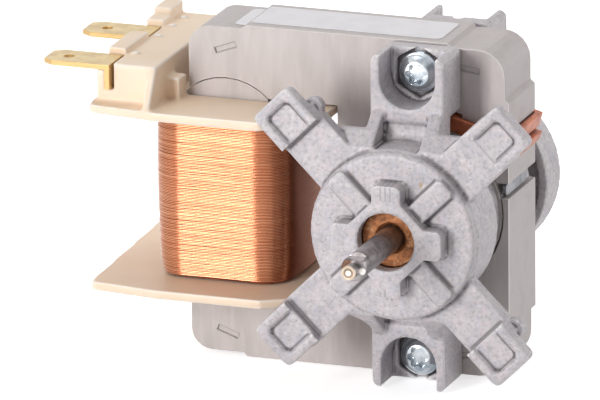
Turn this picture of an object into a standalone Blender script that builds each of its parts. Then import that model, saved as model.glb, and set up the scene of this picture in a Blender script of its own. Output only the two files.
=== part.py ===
"""Shaded-pole fan motor for an oven, built as it comes apart on a bench.

Metres, +Z up. The shaft runs along Y with its tip at the origin, pointing to -Y.
The pieces are modelled in the motor's own frame, whose Y = 0 plane is the front
face of the lamination stack and whose X = Z = 0 line is the shaft's axis. Two
empties put that frame in the world: one carries the fixed pieces, one the rotor.
"""
import bpy
import bmesh
import math
from mathutils import Matrix

# Clearances
SEAT_GAP = 0.0003
RUNNING_GAP = 0.0001
CUT_MARGIN = 0.002

# Shaft and rotor
SHAFT_DIAMETER = 0.0040
SHAFT_PROJECTION = 0.0364
TIP_NIB_DIAMETER = 0.0023
TIP_NIB_HEIGHT = 0.0004
TIP_CHAMFER = 0.0005
TIP_FLAT_LENGTH = 0.0034
TIP_FLAT_DEPTH = 0.0006
ROTOR_DIAMETER = 0.0250
AIR_GAP = 0.00035
CAGE_BARS = 15
CAGE_BAR_DIAMETER = 0.0021
CAGE_BAR_DEPTH = 0.0019
CAGE_SKEW_DEG = 14.0
END_RING_THICKNESS = 0.0024
END_RING_WIDTH = 0.0042
SPACER_WALL = 0.0012
THRUST_WASHER_WALL = 0.0016
THRUST_WASHER_THICKNESS = 0.0007

# Lamination stack
STACK_DEPTH = 0.0130
STACK_HEIGHT = 0.0542
STACK_LEFT = 0.0393
SIDE_WALL = 0.00075
EDGE_STEP = 0.0006
SIDE_STEP = 0.0007
TOP_RAISED_LEFT = 0.0306
TOP_RAISED_RIGHT = 0.0035
SIDE_RAISED_HEIGHT = 0.0364
LEFT_CORNER_RADIUS = 0.0034
RIGHT_CORNER_RADIUS = 0.0043
WINDOW_HEIGHT = 0.0310
WINDOW_WALL = 0.00175
POLE_SLOT_LOW = 0.0028
POLE_SLOT_WIDTH = 0.0025
BRIDGE_THICKNESS = 0.0006
BRIDGE_LENGTH = 0.0105
BRIDGE_END_FLAT = 0.0002
MARK_LENGTH = 0.0036
MARK_WIDTH = 0.0009
MARK_DEPTH = 0.0003
MARK_LEFT_INSET = 0.0061
MARK_RIGHT_INSET = 0.0065
MARK_EDGE_INSET = 0.0038
MARK_LEFT_TILT_DEG = 20.0
MARK_RIGHT_TILT_DEG = 8.0

# Coil core, bobbin and winding
CORE_OFFSET = 0.0331
CORE_WIDTH = 0.0136
CORE_CAP_RADIUS = 0.0097
CORE_CAP_TOP = 0.01815
BOBBIN_WALL = 0.0010
FLANGE_THICKNESS = 0.0014
FLANGE_LEFT = 0.0530
FLANGE_END_GAP = 0.0005
FLANGE_DEPTH = 0.0372
FLANGE_SWEEP_LENGTH = 0.0120
FLANGE_SWEEP_DEPTH = 0.0016
FLANGE_SKEW = 0.0006
FLANGE_CORNER_RADIUS = 0.0012
FLANGE_RELIEF_LENGTH = 0.0085
FLANGE_RELIEF_DEPTH = 0.0047
WINDING_WIDTH = 0.0220
WINDING_DEPTH = 0.0236
WINDING_CORNER_RADIUS = 0.0046
WINDING_TAPER = 0.0003
WINDING_BULGE = 0.0002

# Terminal block on the bobbin, and its two tabs
BLOCK_WIDTH = 0.0101
BLOCK_HEIGHT = 0.0063
BLOCK_DEPTH = 0.0315
BLOCK_LEFT_INSET = 0.0012
BLOCK_FRONT_INSET = 0.0038
BLOCK_CORNER_RADIUS = 0.0004
GUIDE_WIDTH = 0.0030
GUIDE_HEIGHT = 0.0010
REAR_GUIDE_LENGTH = 0.0054
REAR_GUIDE_HEIGHT = 0.0020
RIB_THICKNESS = 0.0012
POST_SIZE = 0.0034
POST_HEIGHT = 0.0035
POST_FRONT_INSET = 0.0083
PIP_DIAMETER = 0.0013
PIP_HEIGHT = 0.0003
PIP_INSET = 0.0043
PIP_FRONT_INSETS = (0.0063, 0.0167)
PIP_REAR_INSETS = (0.0085, 0.0035)
TAB_WIDTH = 0.0063
TAB_THICKNESS = 0.0008
TAB_PROJECTION = 0.0086
TAB_HOLE_DIAMETER = 0.0017
TAB_HOLE_INSET = 0.0034
TAB_TIP_CHAMFER = 0.0010
TAB_TIP_TAPER = 0.0016
TAB_LEG_HEIGHT = 0.0040
TAB_SEAT_LENGTH = 0.0026
FRONT_TAB_INSET = 0.0059
TAB_SPACING = 0.0170

# Shading rings
RING_THICKNESS = 0.0011
RING_PROUD = 0.0001
MAIN_RING_WIDTH = 0.0026
MAIN_RING_WALL = 0.00255
MAIN_RING_DEG = 71.45
MAIN_RING_DROP = 0.00075
TIP_RING_WIDTH = 0.0016
TIP_RING_WALL = 0.00173
TIP_RING_DEG = 47.2
TIP_RING_DROP = 0.00335

# Bearing brackets: levels are distances out from the stack's face
HUB_RADIUS = 0.01375
HUB_WALL = 0.0014
HUB_RIM_LEVEL = 0.00545
FRONT_FACE_LEVEL = 0.0161
REAR_FACE_LEVEL = 0.0129
FACE_THICKNESS = 0.0043
DISC_STEP = 0.0015
DISC_BEVEL = 0.0004
COLLAR_RADIUS = 0.0060
COLLAR_HEIGHT = 0.0031
COLLAR_BORE_RADIUS = 0.00465
COLLAR_ACROSS_FLATS = 0.0121
COLLAR_HOLLOW_RADIUS = 0.0053
CAP_HEIGHT = 0.0026
CAP_WALL = 0.0010
SOCKET_WALL = 0.0014
SOCKET_DEPTH = 0.0077
FELT_POCKET_RADIUS = 0.0076
LUG_WIDTH = 0.0048
LUG_REACH = 0.0090
LUG_CORNER = 0.0010
RIB_WIDTH = 0.0034
RIB_REACH = 0.0131
RIB_HEIGHT = 0.0012
ARM_WIDTH = 0.0084
ARM_REACH = 0.02835
ARM_THICKNESS = 0.0024
ARM_ROOT_SINK = 0.00098
ARM_LAP = 0.0025
PAD_LENGTH = 0.0070
PAD_HEIGHT = 0.0021
PAD_THICKNESS = 0.0024
PAD_CORNER = 0.0010
PAD_RECESS_DEPTH = 0.0007
PAD_RECESS_CORNER = 0.0009
PAD_RIM = 0.0015
STUD_RADIUS = 0.0016
STUD_INSET = 0.00185
STUD_OFFSET = 0.0035
STUD_DROP = 0.0006
STUD_HEIGHT = 0.0020
SHOULDER_INNER = 0.0079
SHOULDER_OUTER = 0.0080
SHOULDER_HEIGHT = 0.013675
WEB_RISE = 0.0136
WEB_UPPER_HEIGHT = 0.01575
WEB_LOWER_HEIGHT = 0.0162
WEB_SLOPE = 1.2256
WEB_THICKNESS = 0.0011
WEB_ROOT_HEIGHT = 0.0120
WEB_ROOT_DROP = 0.0021
HOLLOW_OFFSET = 0.0086
HOLLOW_HEIGHT = 0.0170
HOLLOW_RADIUS = 0.0027
CAST_DRAFT = 0.0002
BOSS_WIDTH = 0.0121
BOSS_HEIGHT = 0.0088
BOSS_RING_ROOM = 0.0019
NECK_WIDTH = 0.0120
NECK_THICKNESS = 0.0035
NECK_FILLET = 0.00285
GUSSET_THICKNESS = 0.0020
GUSSET_FOOT_RISE = 0.0018
SCREW_EDGE_INSET = 0.00405
SCREW_POCKET_RADIUS = 0.00455
SCREW_SEAT_LEVEL = 0.0020
HEX_SEAT_RADIUS = 0.00425
HEX_SEAT_DEPTH = 0.0010
HORN_EDGE_INSET = 0.0001
HORN_CORNER = 0.0012

# Bearings, felts and retainers
BEARING_BALL_RADIUS = 0.00575
BEARING_LENGTH = 0.0070
BEARING_CENTRE_DEPTH = 0.0029
BEARING_COUNTERSINK = 0.0006
FELT_THICKNESS = 0.0012
RETAINER_SHEET = 0.0005
RETAINER_LIP = 0.0014
RETAINER_HOLE_RADIUS = 0.0044

# Screws and nuts
SCREW_DIAMETER = 0.0030
SCREW_HEAD_DIAMETER = 0.0066
SCREW_HEAD_HEIGHT = 0.0022
SCREW_HEAD_EDGE = 0.0007
SCREW_CROWN_RADIUS = 0.0020
SCREW_SHOULDER_RADIUS = 0.0029
SCREW_SHOULDER_DROP = 0.0007
SCREW_RECESS_RADIUS = 0.0018
SCREW_RECESS_ROOT_RADIUS = 0.0013
SCREW_RECESS_LOBES = 6
SCREW_RECESS_DEPTH = 0.0011
SCREW_TURN_DEG = 5.0
SCREW_END = 0.0008
NUT_ACROSS_FLATS = 0.0055
NUT_THICKNESS = 0.0024

# Places worked out from the sizes above
MID_Y = STACK_DEPTH / 2
CORE_X = -CORE_OFFSET
BORE_RADIUS = ROTOR_DIAMETER / 2 + AIR_GAP
STACK_RIGHT = BORE_RADIUS + SIDE_WALL
WINDOW_EDGE = BORE_RADIUS + WINDOW_WALL
MAIN_RING_INNER = (
    (BORE_RADIUS + MAIN_RING_WALL) * math.cos(math.radians(MAIN_RING_DEG)),
    (BORE_RADIUS + MAIN_RING_WALL) * math.sin(math.radians(MAIN_RING_DEG)),
)
MAIN_RING_OUTER = (STACK_RIGHT + RING_PROUD, BORE_RADIUS - MAIN_RING_DROP)
TIP_RING_INNER = (
    (BORE_RADIUS + TIP_RING_WALL) * math.cos(math.radians(TIP_RING_DEG)),
    (BORE_RADIUS + TIP_RING_WALL) * math.sin(math.radians(TIP_RING_DEG)),
)
TIP_RING_OUTER = (STACK_RIGHT + RING_PROUD, BORE_RADIUS - TIP_RING_DROP)
FLANGE_TOP = WINDOW_HEIGHT / 2 - SEAT_GAP
FLANGE_BOTTOM = FLANGE_TOP - FLANGE_THICKNESS
FLANGE_FRONT = MID_Y - FLANGE_DEPTH / 2
SCREW_Z = STACK_HEIGHT / 2 - SCREW_EDGE_INSET
HORN_TIP = STACK_HEIGHT / 2 - HORN_EDGE_INSET
BOSS_INNER_EDGE = MAIN_RING_INNER[1] + BOSS_RING_ROOM
GUSSET_FOOT = BOSS_INNER_EDGE + GUSSET_FOOT_RISE
ARM_LEVEL = FRONT_FACE_LEVEL - DISC_STEP - CAST_DRAFT
WALL_RADIUS = HUB_RADIUS - HUB_WALL / 2
PAD_LEVEL = ARM_LEVEL + PAD_HEIGHT
BLOCK_LEFT = -FLANGE_LEFT + BLOCK_LEFT_INSET
BLOCK_FRONT = FLANGE_FRONT + BLOCK_FRONT_INSET
BLOCK_TOP = FLANGE_TOP + BLOCK_HEIGHT
FRONT_TAB_Y = FLANGE_FRONT + FRONT_TAB_INSET
TAB_YS = (FRONT_TAB_Y, FRONT_TAB_Y + TAB_SPACING)

# Facets
ROUND_STEPS = 40
SHAFT_STEPS = 24
SMALL_STEPS = 20
CAP_STEPS = 8
ROOT_STEPS = 4
FILLET_STEPS = 4
BALL_STEPS = 5
WINDING_LEVELS = 6
CAGE_BAR_SIDES = 6
CAGE_BAR_LEVELS = 2
SMOOTH_ANGLE = math.radians(35)


# Scene and materials

def clear_scene():
    for obj in list(bpy.data.objects):
        bpy.data.objects.remove(obj, do_unlink=True)


def material(name, colour, roughness, metallic):
    """A plain Principled material in the piece's own colour."""
    mat = bpy.data.materials.new(name)
    mat.use_nodes = True
    shader = mat.node_tree.nodes["Principled BSDF"]
    shader.inputs["Base Color"].default_value = (*colour, 1.0)
    shader.inputs["Roughness"].default_value = roughness
    shader.inputs["Metallic"].default_value = metallic
    mat.diffuse_color = (*colour, 1.0)
    return mat


# Outlines

def arc(centre, radius, start_deg, end_deg, steps):
    """Points along an arc, both ends included."""
    points = []
    for i in range(steps + 1):
        angle = math.radians(start_deg + (end_deg - start_deg) * i / steps)
        points.append((centre[0] + radius * math.cos(angle), centre[1] + radius * math.sin(angle)))
    return points


def circle(centre, radius, steps, start_deg=0.0):
    return arc(centre, radius, start_deg, start_deg + 360.0, steps)[:-1]


def rounded(corners, steps=4):
    """Outline through (a, b, radius) corners; a corner with a radius becomes an arc."""
    points = []
    count = len(corners)
    for i, (a, b, radius) in enumerate(corners):
        if radius <= 0:
            points.append((a, b))
            continue
        before = corners[i - 1]
        after = corners[(i + 1) % count]
        to_before = (before[0] - a, before[1] - b)
        to_after = (after[0] - a, after[1] - b)
        len_before = math.hypot(*to_before)
        len_after = math.hypot(*to_after)
        u = (to_before[0] / len_before, to_before[1] / len_before)
        v = (to_after[0] / len_after, to_after[1] / len_after)
        half = math.acos(max(-1.0, min(1.0, u[0] * v[0] + u[1] * v[1]))) / 2
        reach = radius / math.tan(half)
        mid = (u[0] + v[0], u[1] + v[1])
        mid_len = math.hypot(*mid)
        far = radius / math.sin(half)
        cx = a + mid[0] / mid_len * far
        cy = b + mid[1] / mid_len * far
        start = math.atan2(b + u[1] * reach - cy, a + u[0] * reach - cx)
        end = math.atan2(b + v[1] * reach - cy, a + v[0] * reach - cx)
        turn = (end - start + math.pi) % (2 * math.pi) - math.pi
        for k in range(steps + 1):
            angle = start + turn * k / steps
            points.append((cx + radius * math.cos(angle), cy + radius * math.sin(angle)))
    return points


def rectangle(left, right, low, high, radius=0.0):
    return rounded([(left, low, radius), (right, low, radius), (right, high, radius), (left, high, radius)])


# Solids

def mesh_object(name, bm):
    bmesh.ops.recalc_face_normals(bm, faces=bm.faces)
    mesh = bpy.data.meshes.new(name)
    bm.to_mesh(mesh)
    bm.free()
    obj = bpy.data.objects.new(name, mesh)
    bpy.context.scene.collection.objects.link(obj)
    return obj


def loft(name, sections):
    """Closed solid through equal-length loops of 3D points, capped at both ends."""
    bm = bmesh.new()
    rings = [[bm.verts.new(point) for point in section] for section in sections]
    count = len(rings[0])
    for lower, upper in zip(rings, rings[1:]):
        for i in range(count):
            j = (i + 1) % count
            bm.faces.new((lower[i], lower[j], upper[j], upper[i]))
    bm.faces.new(list(reversed(rings[0])))
    bm.faces.new(rings[-1])
    return mesh_object(name, bm)


def prism_y(name, outline, near, far):
    """An (x, z) outline extruded along the shaft."""
    return loft(name, [[(x, y, z) for x, z in outline] for y in (near, far)])


def prism_z(name, outline, low, high):
    """An (x, y) outline extruded upwards."""
    return loft(name, [[(x, y, z) for x, y in outline] for z in (low, high)])


def prism_x(name, outline, left, right):
    """A (y, z) outline extruded sideways."""
    return loft(name, [[(x, y, z) for y, z in outline] for x in (left, right)])


def turned(name, profile, steps=ROUND_STEPS, centre=(0.0, 0.0)):
    """A closed (radius, y) profile turned about a line along Y through centre (x, z)."""
    bm = bmesh.new()
    rings = []
    for radius, y in profile:
        if radius == 0:
            rings.append([bm.verts.new((centre[0], y, centre[1]))])
            continue
        loop = circle(centre, radius, steps)
        rings.append([bm.verts.new((x, y, z)) for x, z in loop])
    for i, ring in enumerate(rings):
        after = rings[(i + 1) % len(rings)]
        if len(ring) == 1 and len(after) == 1:
            continue
        for k in range(steps):
            m = (k + 1) % steps
            if len(ring) == 1:
                bm.faces.new((ring[0], after[m], after[k]))
            elif len(after) == 1:
                bm.faces.new((ring[k], ring[m], after[0]))
            else:
                bm.faces.new((ring[k], ring[m], after[m], after[k]))
    return mesh_object(name, bm)


def combine(target, tools, operation):
    """Boolean the tools into the target, one after another, and drop them."""
    for tool in tools:
        modifier = target.modifiers.new(operation.lower(), "BOOLEAN")
        modifier.operation = operation
        modifier.object = tool
        modifier.solver = "EXACT"
        graph = bpy.context.evaluated_depsgraph_get()
        graph.update()
        result = bpy.data.meshes.new_from_object(target.evaluated_get(graph))
        target.modifiers.clear()
        old = target.data
        target.data = result
        result.name = target.name
        bpy.data.meshes.remove(old)
        bpy.data.objects.remove(tool, do_unlink=True)
    return target


def cut(target, *tools):
    return combine(target, tools, "DIFFERENCE")


def fuse(target, *tools):
    return combine(target, tools, "UNION")


def spun(obj, degrees):
    """Turn the mesh about the shaft's axis; positive turns +X towards +Z."""
    obj.data.transform(Matrix.Rotation(math.radians(-degrees), 4, "Y"))
    return obj


def finish(obj, mat, carrier):
    """Give a piece its material, its smooth shading and its carrier."""
    obj.data.materials.clear()
    obj.data.materials.append(mat)
    obj.data.shade_smooth()
    obj.data.set_sharp_from_angle(angle=SMOOTH_ANGLE)
    obj.parent = carrier
    return obj


# Laminated iron

def core_outline(gap):
    """The coil core's edge-on shape: straight sides and a round cap at each end."""
    half = CORE_WIDTH / 2 + gap
    radius = CORE_CAP_RADIUS + gap
    centre = CORE_CAP_TOP - CORE_CAP_RADIUS
    edge = math.degrees(math.asin(half / radius))
    top = arc((CORE_X, centre), radius, 90 - edge, 90 + edge, CAP_STEPS)
    bottom = arc((CORE_X, -centre), radius, 270 - edge, 270 + edge, CAP_STEPS)
    return top + bottom


def stack_outline():
    """The stack's outer edge, with its raised top, bottom and side faces."""
    high = STACK_HEIGHT / 2
    low = high - EDGE_STEP
    right = STACK_RIGHT - SIDE_STEP
    side = SIDE_RAISED_HEIGHT / 2
    upper = [
        (STACK_RIGHT, side, 0.0),
        (right, side + EDGE_STEP, 0.0),
        (right, low, RIGHT_CORNER_RADIUS),
        (TOP_RAISED_RIGHT + EDGE_STEP, low, 0.0),
        (TOP_RAISED_RIGHT, high, 0.0),
        (-TOP_RAISED_LEFT + EDGE_STEP, high, 0.0),
        (-TOP_RAISED_LEFT, low, 0.0),
        (-STACK_LEFT, low, LEFT_CORNER_RADIUS),
    ]
    lower = [(x, -z, radius) for x, z, radius in reversed(upper)]
    return rounded(upper + lower, steps=6)


def shading_frame(inner, outer):
    """Length, tilt and start of a shading ring's plane, seen along the shaft."""
    dx = outer[0] - inner[0]
    dz = outer[1] - inner[1]
    return math.hypot(dx, dz), math.atan2(dz, dx)


def placed_outline(outline, origin, tilt):
    """An outline turned by tilt and moved so that its own zero lies at origin."""
    along = (math.cos(tilt), math.sin(tilt))
    return [
        (origin[0] + a * along[0] - b * along[1], origin[1] + a * along[1] + b * along[0])
        for a, b in outline
    ]


def ring_slots(name, inner, outer, width):
    """The two slots that a shading ring passes through in the stack."""
    span, tilt = shading_frame(inner, outer)
    half = RING_THICKNESS / 2 + SEAT_GAP
    side = width / 2 + SEAT_GAP
    leg = placed_outline(rectangle(-half, half, -side, side), inner, tilt)
    mouth = placed_outline(rectangle(span - half, span + CUT_MARGIN, -side, side), inner, tilt)
    near = -CUT_MARGIN
    far = STACK_DEPTH + CUT_MARGIN
    return [prism_y(name + "_leg", leg, near, far), prism_y(name + "_mouth", mouth, near, far)]


def lock_mark(place, tilt_deg):
    """One of the punched marks that lock the sheets of the stack together."""
    outline = rectangle(-MARK_LENGTH / 2, MARK_LENGTH / 2, -MARK_WIDTH / 2, MARK_WIDTH / 2)
    outline = placed_outline(outline, place, math.radians(tilt_deg))
    return prism_y("mark", outline, -CUT_MARGIN, MARK_DEPTH)


def stator_stack():
    stack = prism_y("stator_stack", stack_outline(), 0.0, STACK_DEPTH)
    near = -CUT_MARGIN
    far = STACK_DEPTH + CUT_MARGIN
    window = rectangle(-STACK_LEFT - CUT_MARGIN, -WINDOW_EDGE, -WINDOW_HEIGHT / 2, WINDOW_HEIGHT / 2)
    slot_high = POLE_SLOT_LOW + POLE_SLOT_WIDTH
    slot = rectangle(BORE_RADIUS / 2, STACK_RIGHT + CUT_MARGIN, POLE_SLOT_LOW, slot_high)
    cut(
        stack,
        prism_y("bore", circle((0.0, 0.0), BORE_RADIUS, ROUND_STEPS), near, far),
        prism_y("window", window, near, far),
        prism_y("core_seat", core_outline(SEAT_GAP), near, far),
        prism_y("pole_slot", slot, near, far),
    )
    for half_turn in (0.0, 180.0):
        for inner, outer, width in (
            (MAIN_RING_INNER, MAIN_RING_OUTER, MAIN_RING_WIDTH),
            (TIP_RING_INNER, TIP_RING_OUTER, TIP_RING_WIDTH),
        ):
            cut(stack, *[spun(tool, half_turn) for tool in ring_slots("slot", inner, outer, width)])
    for z in (-SCREW_Z, SCREW_Z):
        hole = circle((0.0, z), SCREW_DIAMETER / 2 + SEAT_GAP, SMALL_STEPS)
        cut(stack, prism_y("screw_hole", hole, near, far))
    mark_z = STACK_HEIGHT / 2 - MARK_EDGE_INSET
    for x, tilt in (
        (MARK_LEFT_INSET - STACK_LEFT, MARK_LEFT_TILT_DEG),
        (STACK_RIGHT - MARK_RIGHT_INSET, -MARK_RIGHT_TILT_DEG),
    ):
        cut(stack, lock_mark((x, mark_z), tilt), lock_mark((x, -mark_z), -tilt))
    return stack


def coil_core():
    return prism_y("coil_core", core_outline(0.0), 0.0, STACK_DEPTH)


def magnetic_bridge():
    """The thin strip with round ends that closes the gap between the two poles."""
    low = POLE_SLOT_LOW + SEAT_GAP
    high = POLE_SLOT_LOW + POLE_SLOT_WIDTH - SEAT_GAP
    end = (high - low - BRIDGE_END_FLAT) / 2
    outline = rectangle(SEAT_GAP, BRIDGE_LENGTH, low, high, end)
    inner = ROTOR_DIAMETER / 2
    return prism_x("magnetic_bridge", outline, inner, inner + BRIDGE_THICKNESS)


def shading_ring(name, inner, outer, width, half_turn):
    """A closed copper loop: through the pole, across both faces and past the edge."""
    span, tilt = shading_frame(inner, outer)
    half = RING_THICKNESS / 2
    near = -SEAT_GAP
    far = STACK_DEPTH + SEAT_GAP
    body = placed_outline(rectangle(-half, span + half, -width / 2, width / 2), inner, tilt)
    hollow = placed_outline(rectangle(half, span - half, -width, width), inner, tilt)
    ring = prism_y(name, body, near - RING_THICKNESS, far + RING_THICKNESS)
    cut(ring, prism_y("hollow", hollow, near, far))
    return spun(ring, half_turn)


# Bobbin, winding and terminals

def flange_outline():
    """One bobbin flange seen from above: swept front-left corner, relieved near the bracket."""
    front = FLANGE_FRONT
    rear = FLANGE_FRONT + FLANGE_DEPTH
    left = -FLANGE_LEFT
    right = -WINDOW_EDGE - FLANGE_END_GAP
    radius = FLANGE_CORNER_RADIUS
    return rounded([
        (left + FLANGE_SKEW, front + FLANGE_SWEEP_DEPTH, radius),
        (left + FLANGE_SWEEP_LENGTH, front, 0.0),
        (right - FLANGE_RELIEF_LENGTH, front, 0.0),
        (right, front + FLANGE_RELIEF_DEPTH, 0.0),
        (right, rear - FLANGE_RELIEF_DEPTH, 0.0),
        (right - FLANGE_RELIEF_LENGTH, rear, 0.0),
        (left - FLANGE_SKEW, rear, radius),
    ])


def tab_outline(gap, room_above):
    """A terminal seen from its front edge: the blade and its leg folded down into the block."""
    blade_top = BLOCK_TOP + room_above
    blade_low = BLOCK_TOP - TAB_THICKNESS - gap
    leg_right = BLOCK_LEFT + TAB_SEAT_LENGTH + gap
    leg_left = leg_right - TAB_THICKNESS - 2 * gap
    leg_low = BLOCK_TOP - TAB_LEG_HEIGHT - gap
    tip = BLOCK_LEFT - TAB_PROJECTION - gap
    return [
        (tip, blade_low),
        (leg_left, blade_low),
        (leg_left, leg_low),
        (leg_right, leg_low),
        (leg_right, blade_top),
        (tip, blade_top),
    ]


def tab_prism(name, centre_y, gap, room_above):
    """A terminal's outline across its width; with gaps it is the slot that takes one."""
    half = TAB_WIDTH / 2 + gap
    return prism_y(name, tab_outline(gap, room_above), centre_y - half, centre_y + half)


def terminal(name, centre_y):
    tab = tab_prism(name, centre_y, 0.0, 0.0)
    tip = BLOCK_LEFT - TAB_PROJECTION
    low = BLOCK_TOP - TAB_THICKNESS - CUT_MARGIN / 2
    high = BLOCK_TOP + CUT_MARGIN / 2
    hole = circle((tip + TAB_HOLE_INSET, centre_y), TAB_HOLE_DIAMETER / 2, SMALL_STEPS)
    cut(tab, prism_z("tab_hole", hole, low, high))
    for side in (-1, 1):
        edge = centre_y + side * TAB_WIDTH / 2
        out = side * CUT_MARGIN
        corner = [
            (tip - CUT_MARGIN, edge - side * TAB_TIP_CHAMFER - out),
            (tip, edge - side * TAB_TIP_CHAMFER),
            (tip + TAB_TIP_TAPER, edge),
            (tip + TAB_TIP_TAPER + CUT_MARGIN, edge + out),
            (tip - CUT_MARGIN, edge + out),
        ]
        cut(tab, prism_z("tip_corner", corner, low, high))
    return tab


def bobbin():
    tube_x = CORE_WIDTH / 2 + SEAT_GAP + BOBBIN_WALL
    tube_y = STACK_DEPTH / 2 + SEAT_GAP + BOBBIN_WALL
    tube = rectangle(CORE_X - tube_x, CORE_X + tube_x, MID_Y - tube_y, MID_Y + tube_y)
    body = prism_z("bobbin", tube, -FLANGE_BOTTOM - SEAT_GAP, FLANGE_BOTTOM + SEAT_GAP)
    fuse(
        body,
        prism_z("upper_flange", flange_outline(), FLANGE_BOTTOM, FLANGE_TOP),
        prism_z("lower_flange", flange_outline(), -FLANGE_TOP, -FLANGE_BOTTOM),
    )
    sunk = FLANGE_TOP - FLANGE_THICKNESS / 2
    right = BLOCK_LEFT + BLOCK_WIDTH
    rear = BLOCK_FRONT + BLOCK_DEPTH
    block = rectangle(BLOCK_LEFT, right, BLOCK_FRONT, rear, BLOCK_CORNER_RADIUS)
    fuse(body, prism_z("block", block, sunk, BLOCK_TOP))
    guide_right = BLOCK_LEFT + GUIDE_WIDTH
    half_tab = TAB_WIDTH / 2 + SEAT_GAP
    guides = (
        (TAB_YS[0] + half_tab, TAB_YS[1] - half_tab, GUIDE_HEIGHT),
        (TAB_YS[1] + half_tab, rear, GUIDE_HEIGHT),
        (rear - REAR_GUIDE_LENGTH, rear, REAR_GUIDE_HEIGHT),
    )
    for near, far, height in guides:
        outline = rounded([
            (BLOCK_LEFT, near, 0.0),
            (guide_right, near, 0.0),
            (guide_right, far, 0.0),
            (BLOCK_LEFT, far, FLANGE_CORNER_RADIUS),
        ])
        fuse(body, prism_z("guide", outline, BLOCK_TOP - GUIDE_HEIGHT, BLOCK_TOP + height))
    rib_foot = FLANGE_FRONT + SEAT_GAP
    rib = [(BLOCK_FRONT + RIB_THICKNESS, sunk), (rib_foot, sunk), (rib_foot, FLANGE_TOP)]
    rib += [(BLOCK_FRONT, BLOCK_TOP), (BLOCK_FRONT + RIB_THICKNESS, BLOCK_TOP)]
    fuse(body, prism_x("rib", rib, right - RIB_THICKNESS, right))
    post_front = FLANGE_FRONT + POST_FRONT_INSET
    post_right = -STACK_LEFT - SEAT_GAP
    post = rectangle(post_right - POST_SIZE, post_right, post_front, post_front + POST_SIZE)
    fuse(body, prism_z("post", post, sunk, FLANGE_TOP + POST_HEIGHT))
    pip_ys = [BLOCK_FRONT + inset for inset in PIP_FRONT_INSETS] + [rear - inset for inset in PIP_REAR_INSETS]
    for y in pip_ys:
        pip = circle((BLOCK_LEFT + PIP_INSET, y), PIP_DIAMETER / 2, SMALL_STEPS // 2)
        fuse(body, prism_z("pip", pip, BLOCK_TOP - PIP_HEIGHT, BLOCK_TOP + PIP_HEIGHT))
    hole_x = CORE_WIDTH / 2 + SEAT_GAP
    hole_y = STACK_DEPTH / 2 + SEAT_GAP
    hole = rectangle(CORE_X - hole_x, CORE_X + hole_x, MID_Y - hole_y, MID_Y + hole_y)
    reach = FLANGE_TOP + CUT_MARGIN
    cut(body, prism_z("core_hole", hole, -reach, reach))
    leg_front = -SEAT_GAP
    leg_rear = STACK_DEPTH + SEAT_GAP
    over_legs = rectangle(-STACK_LEFT - SEAT_GAP, 0.0, leg_front, leg_rear)
    cut(body, prism_z("leg_room", over_legs, FLANGE_TOP, BLOCK_TOP + CUT_MARGIN))
    for centre_y in TAB_YS:
        cut(body, tab_prism("tab_slot", centre_y, SEAT_GAP, REAR_GUIDE_HEIGHT + CUT_MARGIN))
    return body


def winding():
    """The wound wire as one body with round corners, a little wider at the top."""
    low = -FLANGE_BOTTOM + SEAT_GAP
    high = FLANGE_BOTTOM - SEAT_GAP
    sections = []
    for i in range(WINDING_LEVELS + 1):
        share = i / WINDING_LEVELS
        swell = WINDING_BULGE * math.sin(math.pi * share) - WINDING_TAPER * (1 - share)
        half_x = WINDING_WIDTH / 2 + swell
        half_y = WINDING_DEPTH / 2 + swell
        outline = rectangle(CORE_X - half_x, CORE_X + half_x, MID_Y - half_y, MID_Y + half_y,
                            WINDING_CORNER_RADIUS)
        z = low + (high - low) * share
        sections.append([(x, y, z) for x, y in outline])
    coil = loft("winding", sections)
    tube_x = CORE_WIDTH / 2 + 2 * SEAT_GAP + BOBBIN_WALL
    tube_y = STACK_DEPTH / 2 + 2 * SEAT_GAP + BOBBIN_WALL
    tube = rectangle(CORE_X - tube_x, CORE_X + tube_x, MID_Y - tube_y, MID_Y + tube_y)
    return cut(coil, prism_z("tube_room", tube, low - CUT_MARGIN, high + CUT_MARGIN))


# Bearing brackets

def out(side, level):
    """Y of a level that is counted outwards from the stack's front (-1) or rear (1) face."""
    return -level if side < 0 else STACK_DEPTH + level


def slab(name, side, outline, low_level, high_level):
    """An (x, z) outline between two levels of one bracket."""
    return prism_y(name, outline, out(side, low_level), out(side, high_level))


def socket_profile(face_level):
    """The bearing's seat from the collar's bore inwards: ball socket, then the felt's pocket."""
    centre = face_level - BEARING_CENTRE_DEPTH
    radius = BEARING_BALL_RADIUS + SEAT_GAP
    mouth = math.degrees(math.acos(COLLAR_BORE_RADIUS / radius))
    shoulder = centre - FELT_THICKNESS
    back = -math.degrees(math.asin(FELT_THICKNESS / radius))
    ball = arc((0.0, centre), radius, mouth, back, BALL_STEPS)
    inner_end = face_level - SOCKET_DEPTH
    return ball + [(FELT_POCKET_RADIUS, shoulder), (FELT_POCKET_RADIUS, inner_end)]


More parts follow.
